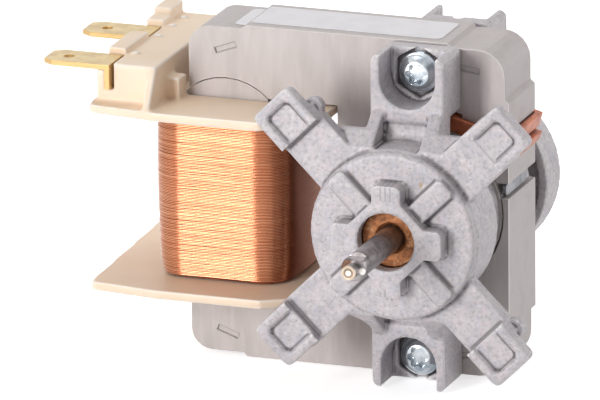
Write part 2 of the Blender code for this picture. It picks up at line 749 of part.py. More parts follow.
def hub(name, side, face_level, open_collar):
    """The turned part of a bracket: cup, raised disc, collar and bearing socket."""
    socket = socket_profile(face_level)
    socket_end = socket[-1][1]
    boss_radius = FELT_POCKET_RADIUS + SOCKET_WALL
    inside = face_level - FACE_THICKNESS
    step = face_level - DISC_STEP
    disc = HUB_RADIUS - DISC_BEVEL / 2
    height = COLLAR_HEIGHT if open_collar else CAP_HEIGHT
    collar_top = face_level + height
    profile = [
        (boss_radius, socket_end),
        (boss_radius, inside),
        (HUB_RADIUS - HUB_WALL, inside),
        (HUB_RADIUS - HUB_WALL, HUB_RIM_LEVEL),
        (HUB_RADIUS, HUB_RIM_LEVEL),
        (HUB_RADIUS, step),
        (disc, step),
        (disc, face_level - DISC_BEVEL),
        (disc - DISC_BEVEL, face_level),
        (COLLAR_RADIUS, face_level),
        (COLLAR_RADIUS, collar_top - DISC_BEVEL),
        (COLLAR_RADIUS - DISC_BEVEL, collar_top),
    ]
    if open_collar:
        profile += [(COLLAR_BORE_RADIUS, collar_top)]
    else:
        cap_low = collar_top - CAP_WALL
        profile += [(0.0, collar_top), (0.0, cap_low), (COLLAR_BORE_RADIUS, cap_low)]
    profile += socket
    return turned(name, [(radius, out(side, level)) for radius, level in profile])


def boss_outline(sign):
    """A screw boss seen along the shaft, with its two rounded horns."""
    half = BOSS_WIDTH / 2
    corners = [
        (-half, BOSS_INNER_EDGE, HORN_CORNER),
        (half, BOSS_INNER_EDGE, HORN_CORNER),
        (half, HORN_TIP, HORN_CORNER),
        (-half, HORN_TIP, HORN_CORNER),
    ]
    return [(x, sign * z) for x, z in rounded(corners)]


def fillet_outline():
    """The (level, z) round between the neck's outer face and the hub's wall."""
    low = BOSS_HEIGHT - SEAT_GAP - CAST_DRAFT / 4
    foot = WALL_RADIUS - DISC_BEVEL
    centre = (low + NECK_FILLET, foot + NECK_FILLET)
    base = low - CAST_DRAFT
    return [(base, foot), (base, centre[1])] + arc(centre, NECK_FILLET, 180, 270, FILLET_STEPS)


def add_screw_boss(body, side, sign, face_level):
    """The boss that a screw clamps to the stack, its pocket, neck and two gussets."""
    centre = (0.0, sign * SCREW_Z)
    step = face_level - DISC_STEP
    neck_half = NECK_WIDTH / 2
    edge_deg = math.degrees(math.asin(neck_half / WALL_RADIUS))
    root = arc((0.0, 0.0), WALL_RADIUS, 90 - edge_deg, 90 + edge_deg, ROOT_STEPS)
    neck = [(x, sign * z) for x, z in root]
    neck += [(-neck_half, sign * (GUSSET_FOOT + SEAT_GAP)), (neck_half, sign * (GUSSET_FOOT + SEAT_GAP))]
    neck_low = BOSS_HEIGHT - NECK_THICKNESS
    gusset_edge = neck_half - CAST_DRAFT
    hub_edge = math.sqrt(WALL_RADIUS ** 2 - gusset_edge ** 2)
    fuse(
        body,
        slab("neck", side, neck, neck_low, BOSS_HEIGHT - SEAT_GAP),
        slab("boss", side, boss_outline(sign), SEAT_GAP, BOSS_HEIGHT),
    )
    for edge in (-gusset_edge, gusset_edge - GUSSET_THICKNESS):
        gusset = [
            (out(side, neck_low + SEAT_GAP), sign * hub_edge),
            (out(side, step - SEAT_GAP), sign * hub_edge),
            (out(side, step - SEAT_GAP), sign * (hub_edge + GUSSET_THICKNESS)),
            (out(side, BOSS_HEIGHT - SEAT_GAP / 2), sign * GUSSET_FOOT),
            (out(side, neck_low + SEAT_GAP), sign * GUSSET_FOOT),
        ]
        fuse(body, prism_x("gusset", gusset, edge, edge + GUSSET_THICKNESS))
    between = gusset_edge - GUSSET_THICKNESS + CAST_DRAFT / 2
    fillet = [(out(side, level), sign * z) for level, z in fillet_outline()]
    fuse(body, prism_x("fillet", fillet, -between, between))
    pocket = circle(centre, SCREW_POCKET_RADIUS, ROUND_STEPS)
    half = SCREW_POCKET_RADIUS
    top = HORN_TIP + CUT_MARGIN
    mouth = [(-half, sign * SCREW_Z), (half, sign * SCREW_Z), (half, sign * top), (-half, sign * top)]
    floor = SCREW_SEAT_LEVEL + HEX_SEAT_DEPTH
    over = BOSS_HEIGHT + CUT_MARGIN
    seat = circle(centre, HEX_SEAT_RADIUS, 6, 90.0)
    hole = circle(centre, SCREW_DIAMETER / 2 + SEAT_GAP, SMALL_STEPS)
    cut(
        body,
        slab("pocket", side, pocket, floor, over),
        slab("pocket_mouth", side, mouth, floor, over),
        slab("hex_seat", side, seat, SCREW_SEAT_LEVEL, floor + CUT_MARGIN),
        slab("screw_hole", side, hole, -CUT_MARGIN, over),
    )


def plate_along(start, end, half, corner):
    """A plate that points along +X, with its two outer corners rounded."""
    return rounded([(start, -half, 0.0), (end, -half, corner), (end, half, corner), (start, half, 0.0)])


def add_arms(body, side):
    """Four arms at 45 degrees, each with a fixing pad stepped out at its end."""
    half = ARM_WIDTH / 2
    start = HUB_RADIUS - ARM_ROOT_SINK
    low = ARM_LEVEL - ARM_THICKNESS
    pad_start = ARM_REACH - PAD_LENGTH
    pad_half = half - CAST_DRAFT
    arm_plate = plate_along(start, pad_start + ARM_LAP, half, 0.0)
    pad_plate = plate_along(pad_start, ARM_REACH, pad_half, PAD_CORNER)
    recess_end = ARM_REACH - PAD_RIM
    recess_plate = plate_along(pad_start - CUT_MARGIN, recess_end, pad_half - PAD_RIM, PAD_RECESS_CORNER)
    for turn in (45.0, 135.0, 225.0, 315.0):
        arm = slab("arm", side, arm_plate, low, ARM_LEVEL)
        pad = slab("pad", side, pad_plate, PAD_LEVEL - PAD_THICKNESS, PAD_LEVEL)
        recess = slab("recess", side, recess_plate, PAD_LEVEL - PAD_RECESS_DEPTH, PAD_LEVEL + CUT_MARGIN)
        cut(pad, recess)
        fuse(body, spun(arm, turn), spun(pad, turn))
    for turn, offset in ((135.0, -STUD_OFFSET), (315.0, STUD_OFFSET)):
        stud = circle((pad_start + STUD_INSET, offset), STUD_RADIUS, SMALL_STEPS)
        fuse(body, spun(slab("stud", side, stud, low - STUD_DROP, low - STUD_DROP + STUD_HEIGHT), turn))


def add_shoulders(body, side):
    """The flat corners at the arms' level that run from the arms to the gussets."""
    inner = (NECK_WIDTH - GUSSET_THICKNESS) / 2 - CAST_DRAFT
    start_deg = math.degrees(math.acos(inner / WALL_RADIUS))
    end_deg = math.degrees(math.acos(SHOULDER_INNER / WALL_RADIUS))
    quarter = arc((0.0, 0.0), WALL_RADIUS, start_deg, end_deg, ROOT_STEPS)
    quarter += [(SHOULDER_OUTER, SHOULDER_HEIGHT), (inner, SHOULDER_HEIGHT)]
    low = ARM_LEVEL - ARM_THICKNESS + SEAT_GAP
    for sign in (-1, 1):
        for hand in (-1, 1):
            shoulder = [(hand * x, sign * z) for x, z in quarter]
            fuse(body, slab("shoulder", side, shoulder, low, ARM_LEVEL - CAST_DRAFT / 4))


def add_webs(body, side):
    """The sloping plates between the arms and the gussets, the lower two hollowed."""
    inner = (NECK_WIDTH - GUSSET_THICKNESS) / 2 - CAST_DRAFT
    high = ARM_LEVEL - CAST_DRAFT / 2
    for sign, edge in ((1, WEB_UPPER_HEIGHT), (-1, WEB_LOWER_HEIGHT)):
        edge_level = high - (edge - WEB_RISE) * WEB_SLOPE
        outline = [
            (high, WEB_ROOT_HEIGHT),
            (high, WEB_RISE),
            (edge_level, edge),
            (edge_level - WEB_THICKNESS, edge),
            (high - WEB_ROOT_DROP, WEB_ROOT_HEIGHT),
        ]
        outline = [(out(side, level), sign * z) for level, z in outline]
        outer = edge - ARM_WIDTH / 2 * math.sqrt(2) + SEAT_GAP
        for hand in (-1, 1):
            web = prism_x("web", outline, *sorted((hand * inner, hand * outer)))
            if sign < 0:
                hollow = circle((hand * HOLLOW_OFFSET, sign * HOLLOW_HEIGHT), HOLLOW_RADIUS, SMALL_STEPS)
                cut(web, slab("hollow", side, hollow, 0.0, ARM_LEVEL + CUT_MARGIN))
            fuse(body, web)


def spoke_outline(end, half, corner):
    """A spoke along +X that grows out of the collar and ends in two round corners."""
    root = COLLAR_RADIUS - SEAT_GAP
    edge = math.degrees(math.asin(half / root))
    base = arc((0.0, 0.0), root, edge, -edge, ROOT_STEPS)
    tip = rounded([(root, -half, 0.0), (end, -half, corner), (end, half, corner), (root, half, 0.0)])
    return base + tip[1:-1]


def add_face_relief(body, side, face_level):
    """The collar's eight flats and four lugs, and the four diagonal ribs on the disc."""
    lug = spoke_outline(LUG_REACH, LUG_WIDTH / 2, LUG_CORNER)
    rib = spoke_outline(RIB_REACH, RIB_WIDTH / 2, LUG_CORNER)
    root = face_level - CAST_DRAFT
    corner = COLLAR_ACROSS_FLATS / 2 / math.cos(math.radians(22.5))
    top = face_level + COLLAR_HEIGHT - DISC_BEVEL / 8
    flats = slab("flats", side, circle((0.0, 0.0), corner, 8, 22.5), root, top)
    bore = circle((0.0, 0.0), COLLAR_HOLLOW_RADIUS, ROUND_STEPS)
    cut(flats, slab("bore", side, bore, root - CUT_MARGIN, top + CUT_MARGIN))
    fuse(body, flats)
    for quarter in range(4):
        turn = 90.0 * quarter
        fuse(
            body,
            spun(slab("lug", side, lug, root, face_level + COLLAR_HEIGHT - DISC_BEVEL / 4), turn),
            spun(slab("rib", side, rib, root, face_level + RIB_HEIGHT), turn + 45.0),
        )


def front_bracket():
    body = hub("front_bracket", -1, FRONT_FACE_LEVEL, True)
    add_arms(body, -1)
    add_shoulders(body, -1)
    add_webs(body, -1)
    for sign in (-1, 1):
        add_screw_boss(body, -1, sign, FRONT_FACE_LEVEL)
    add_face_relief(body, -1, FRONT_FACE_LEVEL)
    return body


def rear_bracket():
    body = hub("rear_bracket", 1, REAR_FACE_LEVEL, False)
    for sign in (-1, 1):
        add_screw_boss(body, 1, sign, REAR_FACE_LEVEL)
    return body


# Bearings and what keeps them

def bearing(name, side, face_level):
    """A ball-shaped sintered sleeve with a countersunk bore."""
    centre = face_level - BEARING_CENTRE_DEPTH
    half = BEARING_LENGTH / 2
    edge = math.degrees(math.asin(half / BEARING_BALL_RADIUS))
    bore = SHAFT_DIAMETER / 2 + RUNNING_GAP
    ball = arc((0.0, centre), BEARING_BALL_RADIUS, edge, -edge, BALL_STEPS)
    profile = [
        (bore, centre - half + BEARING_COUNTERSINK),
        (bore, centre + half - BEARING_COUNTERSINK),
        (bore + BEARING_COUNTERSINK, centre + half),
    ]
    profile += ball + [(bore + BEARING_COUNTERSINK, centre - half)]
    return turned(name, [(radius, out(side, level)) for radius, level in profile], SHAFT_STEPS)


def retainer(name, side, face_level):
    """The pressed spring cup that holds a bearing in its socket."""
    top = face_level - BEARING_CENTRE_DEPTH - BEARING_LENGTH / 2 - SEAT_GAP
    low = top - RETAINER_SHEET
    outer = FELT_POCKET_RADIUS - SEAT_GAP
    profile = [
        (RETAINER_HOLE_RADIUS, low),
        (outer, low),
        (outer, low + RETAINER_LIP),
        (outer - RETAINER_SHEET, low + RETAINER_LIP),
        (outer - RETAINER_SHEET, top),
        (RETAINER_HOLE_RADIUS, top),
    ]
    return turned(name, [(radius, out(side, level)) for radius, level in profile], SMALL_STEPS)


def felt(name, side, face_level):
    """The oil-soaked ring round the inner half of a bearing."""
    top = face_level - BEARING_CENTRE_DEPTH - FELT_THICKNESS - SEAT_GAP
    inner = BEARING_BALL_RADIUS + SEAT_GAP
    outer = FELT_POCKET_RADIUS - SEAT_GAP
    profile = [(inner, top - FELT_THICKNESS), (outer, top - FELT_THICKNESS), (outer, top), (inner, top)]
    return turned(name, [(radius, out(side, level)) for radius, level in profile], SMALL_STEPS)


# Rotor

def bar_sections(diameter, near, far, start_deg):
    """A bar of the cage: a round section that turns about the shaft along its length."""
    radius = ROTOR_DIAMETER / 2 - CAGE_BAR_DEPTH
    sections = []
    for i in range(CAGE_BAR_LEVELS + 1):
        y = near + (far - near) * i / CAGE_BAR_LEVELS
        angle_deg = start_deg + CAGE_SKEW_DEG * (y - MID_Y) / STACK_DEPTH
        angle = math.radians(angle_deg)
        centre = (radius * math.cos(angle), radius * math.sin(angle))
        loop = circle(centre, diameter / 2, CAGE_BAR_SIDES, angle_deg)
        sections.append([(x, y, z) for x, z in loop])
    return sections


def rotor_core():
    core = turned("rotor_core", [
        (SHAFT_DIAMETER / 2 + SEAT_GAP, 0.0),
        (ROTOR_DIAMETER / 2, 0.0),
        (ROTOR_DIAMETER / 2, STACK_DEPTH),
        (SHAFT_DIAMETER / 2 + SEAT_GAP, STACK_DEPTH),
    ])
    for i in range(CAGE_BARS):
        hole = bar_sections(CAGE_BAR_DIAMETER + 2 * SEAT_GAP, -CUT_MARGIN, STACK_DEPTH + CUT_MARGIN,
                            360.0 * i / CAGE_BARS)
        cut(core, loft("bar_hole", hole))
    return core


def rotor_cage():
    """The cast cage: two end rings and the skewed bars between them, one piece."""
    outer = ROTOR_DIAMETER / 2 - SEAT_GAP
    inner = outer - END_RING_WIDTH
    rings = []
    for side in (-1, 1):
        low = SEAT_GAP
        high = SEAT_GAP + END_RING_THICKNESS
        profile = [(inner, low), (outer, low), (outer - SEAT_GAP, high), (inner + SEAT_GAP, high)]
        rings.append(turned("rotor_cage", [(radius, out(side, level)) for radius, level in profile]))
    reach = SEAT_GAP + END_RING_THICKNESS / 2
    cage = rings[0]
    for i in range(CAGE_BARS):
        bar = bar_sections(CAGE_BAR_DIAMETER, -reach, STACK_DEPTH + reach, 360.0 * i / CAGE_BARS)
        fuse(cage, loft("bar", bar))
    fuse(cage, rings[1])
    cage.name = "rotor_cage"
    return cage


def bearing_inner_level(face_level):
    return face_level - BEARING_CENTRE_DEPTH - BEARING_LENGTH / 2


def thrust_washer(name, side, face_level):
    high = bearing_inner_level(face_level) - SEAT_GAP
    bore = SHAFT_DIAMETER / 2 + SEAT_GAP
    low = high - THRUST_WASHER_THICKNESS
    profile = [(bore, low), (bore + THRUST_WASHER_WALL, low), (bore + THRUST_WASHER_WALL, high), (bore, high)]
    return turned(name, [(radius, out(side, level)) for radius, level in profile], SMALL_STEPS)


def spacer(name, side, face_level):
    high = bearing_inner_level(face_level) - THRUST_WASHER_THICKNESS - 2 * SEAT_GAP
    bore = SHAFT_DIAMETER / 2 + SEAT_GAP
    profile = [(bore, SEAT_GAP), (bore + SPACER_WALL, SEAT_GAP), (bore + SPACER_WALL, high), (bore, high)]
    return turned(name, [(radius, out(side, level)) for radius, level in profile], SMALL_STEPS)


def shaft():
    """The shaft with its chamfered, nibbed tip and the flat that the fan locks on."""
    radius = SHAFT_DIAMETER / 2
    tip = -SHAFT_PROJECTION
    shoulder = tip + TIP_NIB_HEIGHT
    rear = out(1, REAR_FACE_LEVEL - BEARING_CENTRE_DEPTH + BEARING_LENGTH / 2)
    profile = [
        (0.0, tip),
        (TIP_NIB_DIAMETER / 2, tip),
        (TIP_NIB_DIAMETER / 2, shoulder),
        (radius - TIP_CHAMFER, shoulder),
        (radius, shoulder + TIP_CHAMFER),
        (radius, rear - TIP_CHAMFER),
        (radius - TIP_CHAMFER, rear),
        (0.0, rear),
    ]
    rod = turned("shaft", profile, SHAFT_STEPS)
    flat = rectangle(-radius - CUT_MARGIN, radius + CUT_MARGIN, radius - TIP_FLAT_DEPTH, radius + CUT_MARGIN)
    return cut(rod, prism_y("tip_flat", flat, tip - CUT_MARGIN, tip + TIP_FLAT_LENGTH))


# Screws and nuts

def screw(name, z):
    """A round-headed machine screw with a six-lobed recess, through both brackets."""
    seat = out(-1, SCREW_SEAT_LEVEL + SEAT_GAP)
    crown = seat - SCREW_HEAD_HEIGHT
    head = SCREW_HEAD_DIAMETER / 2
    shank = SCREW_DIAMETER / 2
    end = out(1, SCREW_SEAT_LEVEL + SEAT_GAP + NUT_THICKNESS + SCREW_END)
    profile = [
        (0.0, crown),
        (SCREW_CROWN_RADIUS, crown),
        (SCREW_SHOULDER_RADIUS, crown + SCREW_SHOULDER_DROP),
        (head, seat - SCREW_HEAD_EDGE),
        (head, seat),
        (shank, seat),
        (shank, end - SCREW_HEAD_EDGE),
        (shank - SCREW_HEAD_EDGE, end),
        (0.0, end),
    ]
    body = turned(name, profile, SHAFT_STEPS, (0.0, z))
    half_lobe_deg = 180.0 / SCREW_RECESS_LOBES
    tips = circle((0.0, z), SCREW_RECESS_RADIUS, SCREW_RECESS_LOBES, SCREW_TURN_DEG)
    roots = circle((0.0, z), SCREW_RECESS_ROOT_RADIUS, SCREW_RECESS_LOBES, SCREW_TURN_DEG + half_lobe_deg)
    star = [point for pair in zip(tips, roots) for point in pair]
    return cut(body, prism_y("recess", star, crown - CUT_MARGIN, crown + SCREW_RECESS_DEPTH))


def nut(name, z):
    seat = out(1, SCREW_SEAT_LEVEL + SEAT_GAP)
    corner = NUT_ACROSS_FLATS / 2 / math.cos(math.radians(30))
    body = prism_y(name, circle((0.0, z), corner, 6, 90.0), seat, seat + NUT_THICKNESS)
    hole = circle((0.0, z), SCREW_DIAMETER / 2 + SEAT_GAP, SMALL_STEPS)
    return cut(body, prism_y("nut_hole", hole, seat - CUT_MARGIN, seat + NUT_THICKNESS + CUT_MARGIN))


def main():
    clear_scene()
    casting = material("die_cast_aluminium", (0.62, 0.61, 0.62), 0.45, 0.8)
    iron = material("lamination_steel", (0.50, 0.48, 0.46), 0.5, 0.7)
    rotor_iron = material("rotor_steel", (0.40, 0.39, 0.38), 0.45, 0.8)
    copper = material("copper", (0.62, 0.24, 0.12), 0.35, 1.0)
    wire = material("enamelled_wire", (0.70, 0.32, 0.14), 0.35, 0.6)
    plastic = material("cream_plastic", (0.85, 0.72, 0.52), 0.45, 0.0)
    brass = material("brass", (0.72, 0.55, 0.30), 0.3, 1.0)
    bronze = material("sintered_bronze", (0.45, 0.24, 0.10), 0.6, 0.7)
    steel = material("shaft_steel", (0.45, 0.44, 0.44), 0.25, 1.0)
    zinc = material("zinc_plate", (0.66, 0.68, 0.70), 0.2, 1.0)
    spring = material("spring_steel", (0.38, 0.38, 0.40), 0.35, 1.0)
    wool = material("felt", (0.55, 0.50, 0.42), 0.95, 0.0)
    fibre = material("fibre", (0.25, 0.14, 0.08), 0.7, 0.0)

    stator = bpy.data.objects.new("stator_frame", None)
    rotor = bpy.data.objects.new("rotor_axis", None)
    for carrier in (stator, rotor):
        bpy.context.scene.collection.objects.link(carrier)
        carrier.location = (0.0, SHAFT_PROJECTION, 0.0)

    finish(stator_stack(), iron, stator)
    finish(coil_core(), iron, stator)
    finish(magnetic_bridge(), spring, stator)
    rings = (
        ("shading_ring_main", MAIN_RING_INNER, MAIN_RING_OUTER, MAIN_RING_WIDTH),
        ("shading_ring_tip", TIP_RING_INNER, TIP_RING_OUTER, TIP_RING_WIDTH),
    )
    for name, inner, outer, width in rings:
        for place, half_turn in (("upper", 0.0), ("lower", 180.0)):
            finish(shading_ring(f"{name}_{place}", inner, outer, width, half_turn), copper, stator)
    finish(bobbin(), plastic, stator)
    finish(winding(), wire, stator)
    finish(terminal("terminal_front", TAB_YS[0]), brass, stator)
    finish(terminal("terminal_rear", TAB_YS[1]), brass, stator)
    finish(front_bracket(), casting, stator)
    finish(rear_bracket(), casting, stator)
    for place, side, level in (("front", -1, FRONT_FACE_LEVEL), ("rear", 1, REAR_FACE_LEVEL)):
        finish(bearing(f"{place}_bearing", side, level), bronze, stator)
        finish(retainer(f"{place}_bearing_retainer", side, level), spring, stator)
        finish(felt(f"{place}_oil_felt", side, level), wool, stator)
        finish(thrust_washer(f"{place}_thrust_washer", side, level), fibre, rotor)
        finish(spacer(f"{place}_rotor_spacer", side, level), steel, rotor)
    finish(rotor_core(), rotor_iron, rotor)
    finish(rotor_cage(), casting, rotor)
    finish(shaft(), steel, rotor)
    for place, z in (("upper", SCREW_Z), ("lower", -SCREW_Z)):
        finish(screw(f"{place}_screw", z), zinc, stator)
        finish(nut(f"{place}_nut", z), zinc, stator)
    bpy.context.view_layer.update()


if __name__ == "__main__":
    main()
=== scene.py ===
"""Looks of the oven fan motor: its surfaces, finishes, stage and camera.

Metres throughout, in the frame's own axes: the shaft's free end lies at the origin and points
to -Y, +Z is up with the blades on top, and the coil stands on the -X side.
"""

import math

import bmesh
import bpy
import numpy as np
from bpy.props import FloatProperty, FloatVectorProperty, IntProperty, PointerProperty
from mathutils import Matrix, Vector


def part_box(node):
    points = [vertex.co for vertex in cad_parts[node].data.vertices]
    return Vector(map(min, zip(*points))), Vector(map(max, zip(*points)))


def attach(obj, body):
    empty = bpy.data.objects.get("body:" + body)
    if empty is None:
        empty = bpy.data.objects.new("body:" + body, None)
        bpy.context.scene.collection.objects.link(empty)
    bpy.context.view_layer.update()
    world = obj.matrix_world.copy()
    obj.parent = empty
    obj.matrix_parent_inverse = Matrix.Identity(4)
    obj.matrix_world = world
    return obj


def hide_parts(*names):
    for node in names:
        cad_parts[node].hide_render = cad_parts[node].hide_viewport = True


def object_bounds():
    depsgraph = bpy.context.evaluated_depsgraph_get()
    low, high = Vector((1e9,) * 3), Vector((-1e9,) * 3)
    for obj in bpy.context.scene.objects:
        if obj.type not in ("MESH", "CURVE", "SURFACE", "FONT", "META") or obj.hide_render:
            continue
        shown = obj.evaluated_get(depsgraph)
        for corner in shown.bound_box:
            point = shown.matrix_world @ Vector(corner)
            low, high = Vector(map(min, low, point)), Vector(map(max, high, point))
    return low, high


bl_info = {
    "name": "Oven Fan Motor Looks",
    "version": (1, 0, 0),
    "blender": (4, 5, 0),
    "location": "View3D > Sidebar > Motor",
    "description": "Surfaces and finishes of an oven fan motor round its fixed frame",
    "category": "Object",
}

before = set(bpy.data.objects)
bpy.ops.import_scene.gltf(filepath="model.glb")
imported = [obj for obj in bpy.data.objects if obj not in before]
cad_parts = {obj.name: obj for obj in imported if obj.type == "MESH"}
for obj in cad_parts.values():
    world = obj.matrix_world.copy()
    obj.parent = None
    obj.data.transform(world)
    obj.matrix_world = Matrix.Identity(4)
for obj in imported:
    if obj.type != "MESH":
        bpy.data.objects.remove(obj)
CAD_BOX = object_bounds()

STACK_LOW, STACK_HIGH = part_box("stator_stack")
FACE_Y = STACK_LOW.y
BLADE_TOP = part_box("terminal_front")[1].z
TURN = 2.0 * math.pi

# Where the marks lie that the finishes paint, from the photo
SHEET = 0.0005
SCRATCH_DEPTH = 0.000008
LOCK_MARKS = ((STACK_LOW.x + 0.0061, 20.0), (STACK_HIGH.x - 0.0065, -8.0))
CAST_FRONT_Y = 0.031
CAST_STAIN = (0.0048, FACE_Y - 0.0161, 0.0089)
CAST_STROKES = ((-0.0008, 0.0080, 0.0012), (0.0, 0.0080, 0.0013), (0.0008, 0.0080, 0.0012),
                (-0.0009, -0.0092, 0.0010), (-0.0001, -0.0090, 0.0012))
PIP_X = -0.0475
PIP_YS = (0.0344, 0.0448, 0.0511, 0.0561)


# Sizes and colours that a user would change

def seen(red, green, blue):
    """Scene-linear colour of an 8-bit display colour."""
    share = np.array((red, green, blue)) / 255.0
    linear = np.where(share <= 0.04045, share / 12.92, ((share + 0.055) / 1.055) ** 2.4)
    return tuple(linear.tolist())


def colour_setting(name, description, red, green, blue):
    return FloatVectorProperty(name=name, description=description, subtype="COLOR", size=3,
                               min=0.0, max=1.0, default=seen(red, green, blue))


def length_setting(name, description, default):
    return FloatProperty(name=name, description=description, unit="LENGTH", precision=5,
                         min=0.0, default=default)


def angle_setting(name, description, default_deg):
    return FloatProperty(name=name, description=description, subtype="ANGLE",
                         default=math.radians(default_deg))


def strength_setting(name, description, default):
    return FloatProperty(name=name, description=description, min=0.0, default=default)


def count_setting(name, description, least, default):
    return IntProperty(name=name, description=description, min=least, default=default)


class MotorColours(bpy.types.PropertyGroup):
    casting: colour_setting("Casting", "Pale grey of the die-cast brackets", 195, 189, 191)
    # The crease colour is painted shade and the edge colour is a painted highlight
    casting_crease_shade: colour_setting("Casting crease", "Grey in the castings' creases", 96, 90, 92)
    casting_edge_highlight: colour_setting("Casting edge", "Rubbed edges of the castings", 240, 237, 236)
    steel: colour_setting("Sheet steel", "Warm grey of the stack's faces", 197, 189, 187)
    steel_edge: colour_setting("Sheet edges", "Punched edges of the stack's sheets", 194, 186, 185)
    plastic: colour_setting("Bobbin", "Cream plastic of the bobbin", 246, 224, 200)
    # The bobbin's edge colour is a painted highlight
    plastic_edge_highlight: colour_setting("Bobbin edge", "Paler moulded edges of the bobbin", 252, 240, 228)
    wire: colour_setting("Winding wire", "Lacquered copper wire", 194, 124, 86)
    # Colour of faint dark streaks along the wire, and painted shade in the grooves between turns
    wire_streak_and_groove_shade: colour_setting("Winding grooves", "Wire in the grooves of the winding", 120, 52, 26)
    copper: colour_setting("Shading rings", "Bare copper of the shading rings", 196, 114, 80)
    brass: colour_setting("Blades", "Pale brass of the push-on blades", 228, 204, 150)
    bronze: colour_setting("Bearings", "Oily sintered bronze", 170, 108, 64)
    shaft: colour_setting("Shaft", "Ground steel of the shaft", 156, 150, 150)
    zinc: colour_setting("Zinc plate", "Bright plate on screws and nuts", 208, 213, 216)
    spring: colour_setting("Strip steel", "Rolled strip of the bearing retainers", 150, 150, 154)
    label: colour_setting("Label", "Blank paper label", 236, 233, 236)
    felt: colour_setting("Felt", "Oiled felt rings", 168, 154, 128)
    fibre: colour_setting("Fibre", "Hard fibre washers", 112, 78, 56)


class MotorSizes(bpy.types.PropertyGroup):
    casting_grain: length_setting("Casting detail", "Finest detail of a casting's skin", 0.00028)
    casting_rounds: count_setting("Casting rounding", "How far a casting's edges are rounded", 0, 1)
    plastic_grain: length_setting("Moulding detail", "Finest detail of the bobbin's skin", 0.00033)
    plastic_rounds: count_setting("Moulding rounding", "How far its edges are rounded", 0, 2)
    ring_grain: length_setting("Ring detail", "Finest detail of the shading rings' skin", 0.00014)
    ring_rounds: count_setting("Ring rounding", "How far the rings' edges are rounded", 0, 24)
    wire_diameter: length_setting("Wire diameter", "Diameter of the lacquered wire", 0.00026)
    wire_pitch: length_setting("Wire pitch", "Distance between neighbouring turns", 0.00025)
    wire_wander: length_setting("Wire wander", "How far a turn strays from its place", 0.00005)
    coil_corner: length_setting("Coil corner", "Radius of the winding's corners", 0.0046)
    label_thickness: length_setting("Label thickness", "Thickness of the label", 0.00008)
    label_corner: length_setting("Label corner", "Radius of the label's corners", 0.0010)


class MotorStage(bpy.types.PropertyGroup):
    azimuth: angle_setting("Azimuth", "Camera's turn to the right of the shaft", 19.96)
    elevation: angle_setting("Elevation", "Camera's height over the shaft", 16.69)
    roll: angle_setting("Roll", "Camera's turn about its own axis", -0.50)
    distance: length_setting("Distance", "From the camera to the point it looks at", 2.0)
    lens: FloatProperty(name="Lens", description="Focal length in millimetres", unit="CAMERA",
                        default=762.0)
    strip: strength_setting("Strip light", "Brightness of the tall light at front left", 16.0)
    key: strength_setting("Key light", "Brightness of the wide light at left", 0.4)
    top: strength_setting("Top light", "Brightness of the wide light above and behind", 1.3)
    side: strength_setting("Side light", "Brightness of the light at right and behind", 2.2)
    sky: strength_setting("Sky", "Light that comes evenly from all round", 0.24)
    glow: strength_setting("Floor glow", "Strength that the camera sees on the floor", 0.62)


# Materials

class Signal:
    """A number that varies over a surface. Arithmetic on it adds Math nodes."""

    def __init__(self, finish, socket):
        self.finish = finish
        self.socket = socket

    def __add__(self, other):
        return self.finish.math("ADD", self, other)

    __radd__ = __add__

    def __sub__(self, other):
        return self.finish.math("SUBTRACT", self, other)

    def __rsub__(self, other):
        return self.finish.math("SUBTRACT", other, self)

    def __mul__(self, other):
        return self.finish.math("MULTIPLY", self, other)

    __rmul__ = __mul__

    def step(self, low, high):
        """0 below low, 1 above high and smooth between; low may be the larger one."""
        return self.finish.node("ShaderNodeMapRange", {"interpolation_type": "SMOOTHSTEP"},
                                {"Value": self, "From Min": low, "From Max": high})


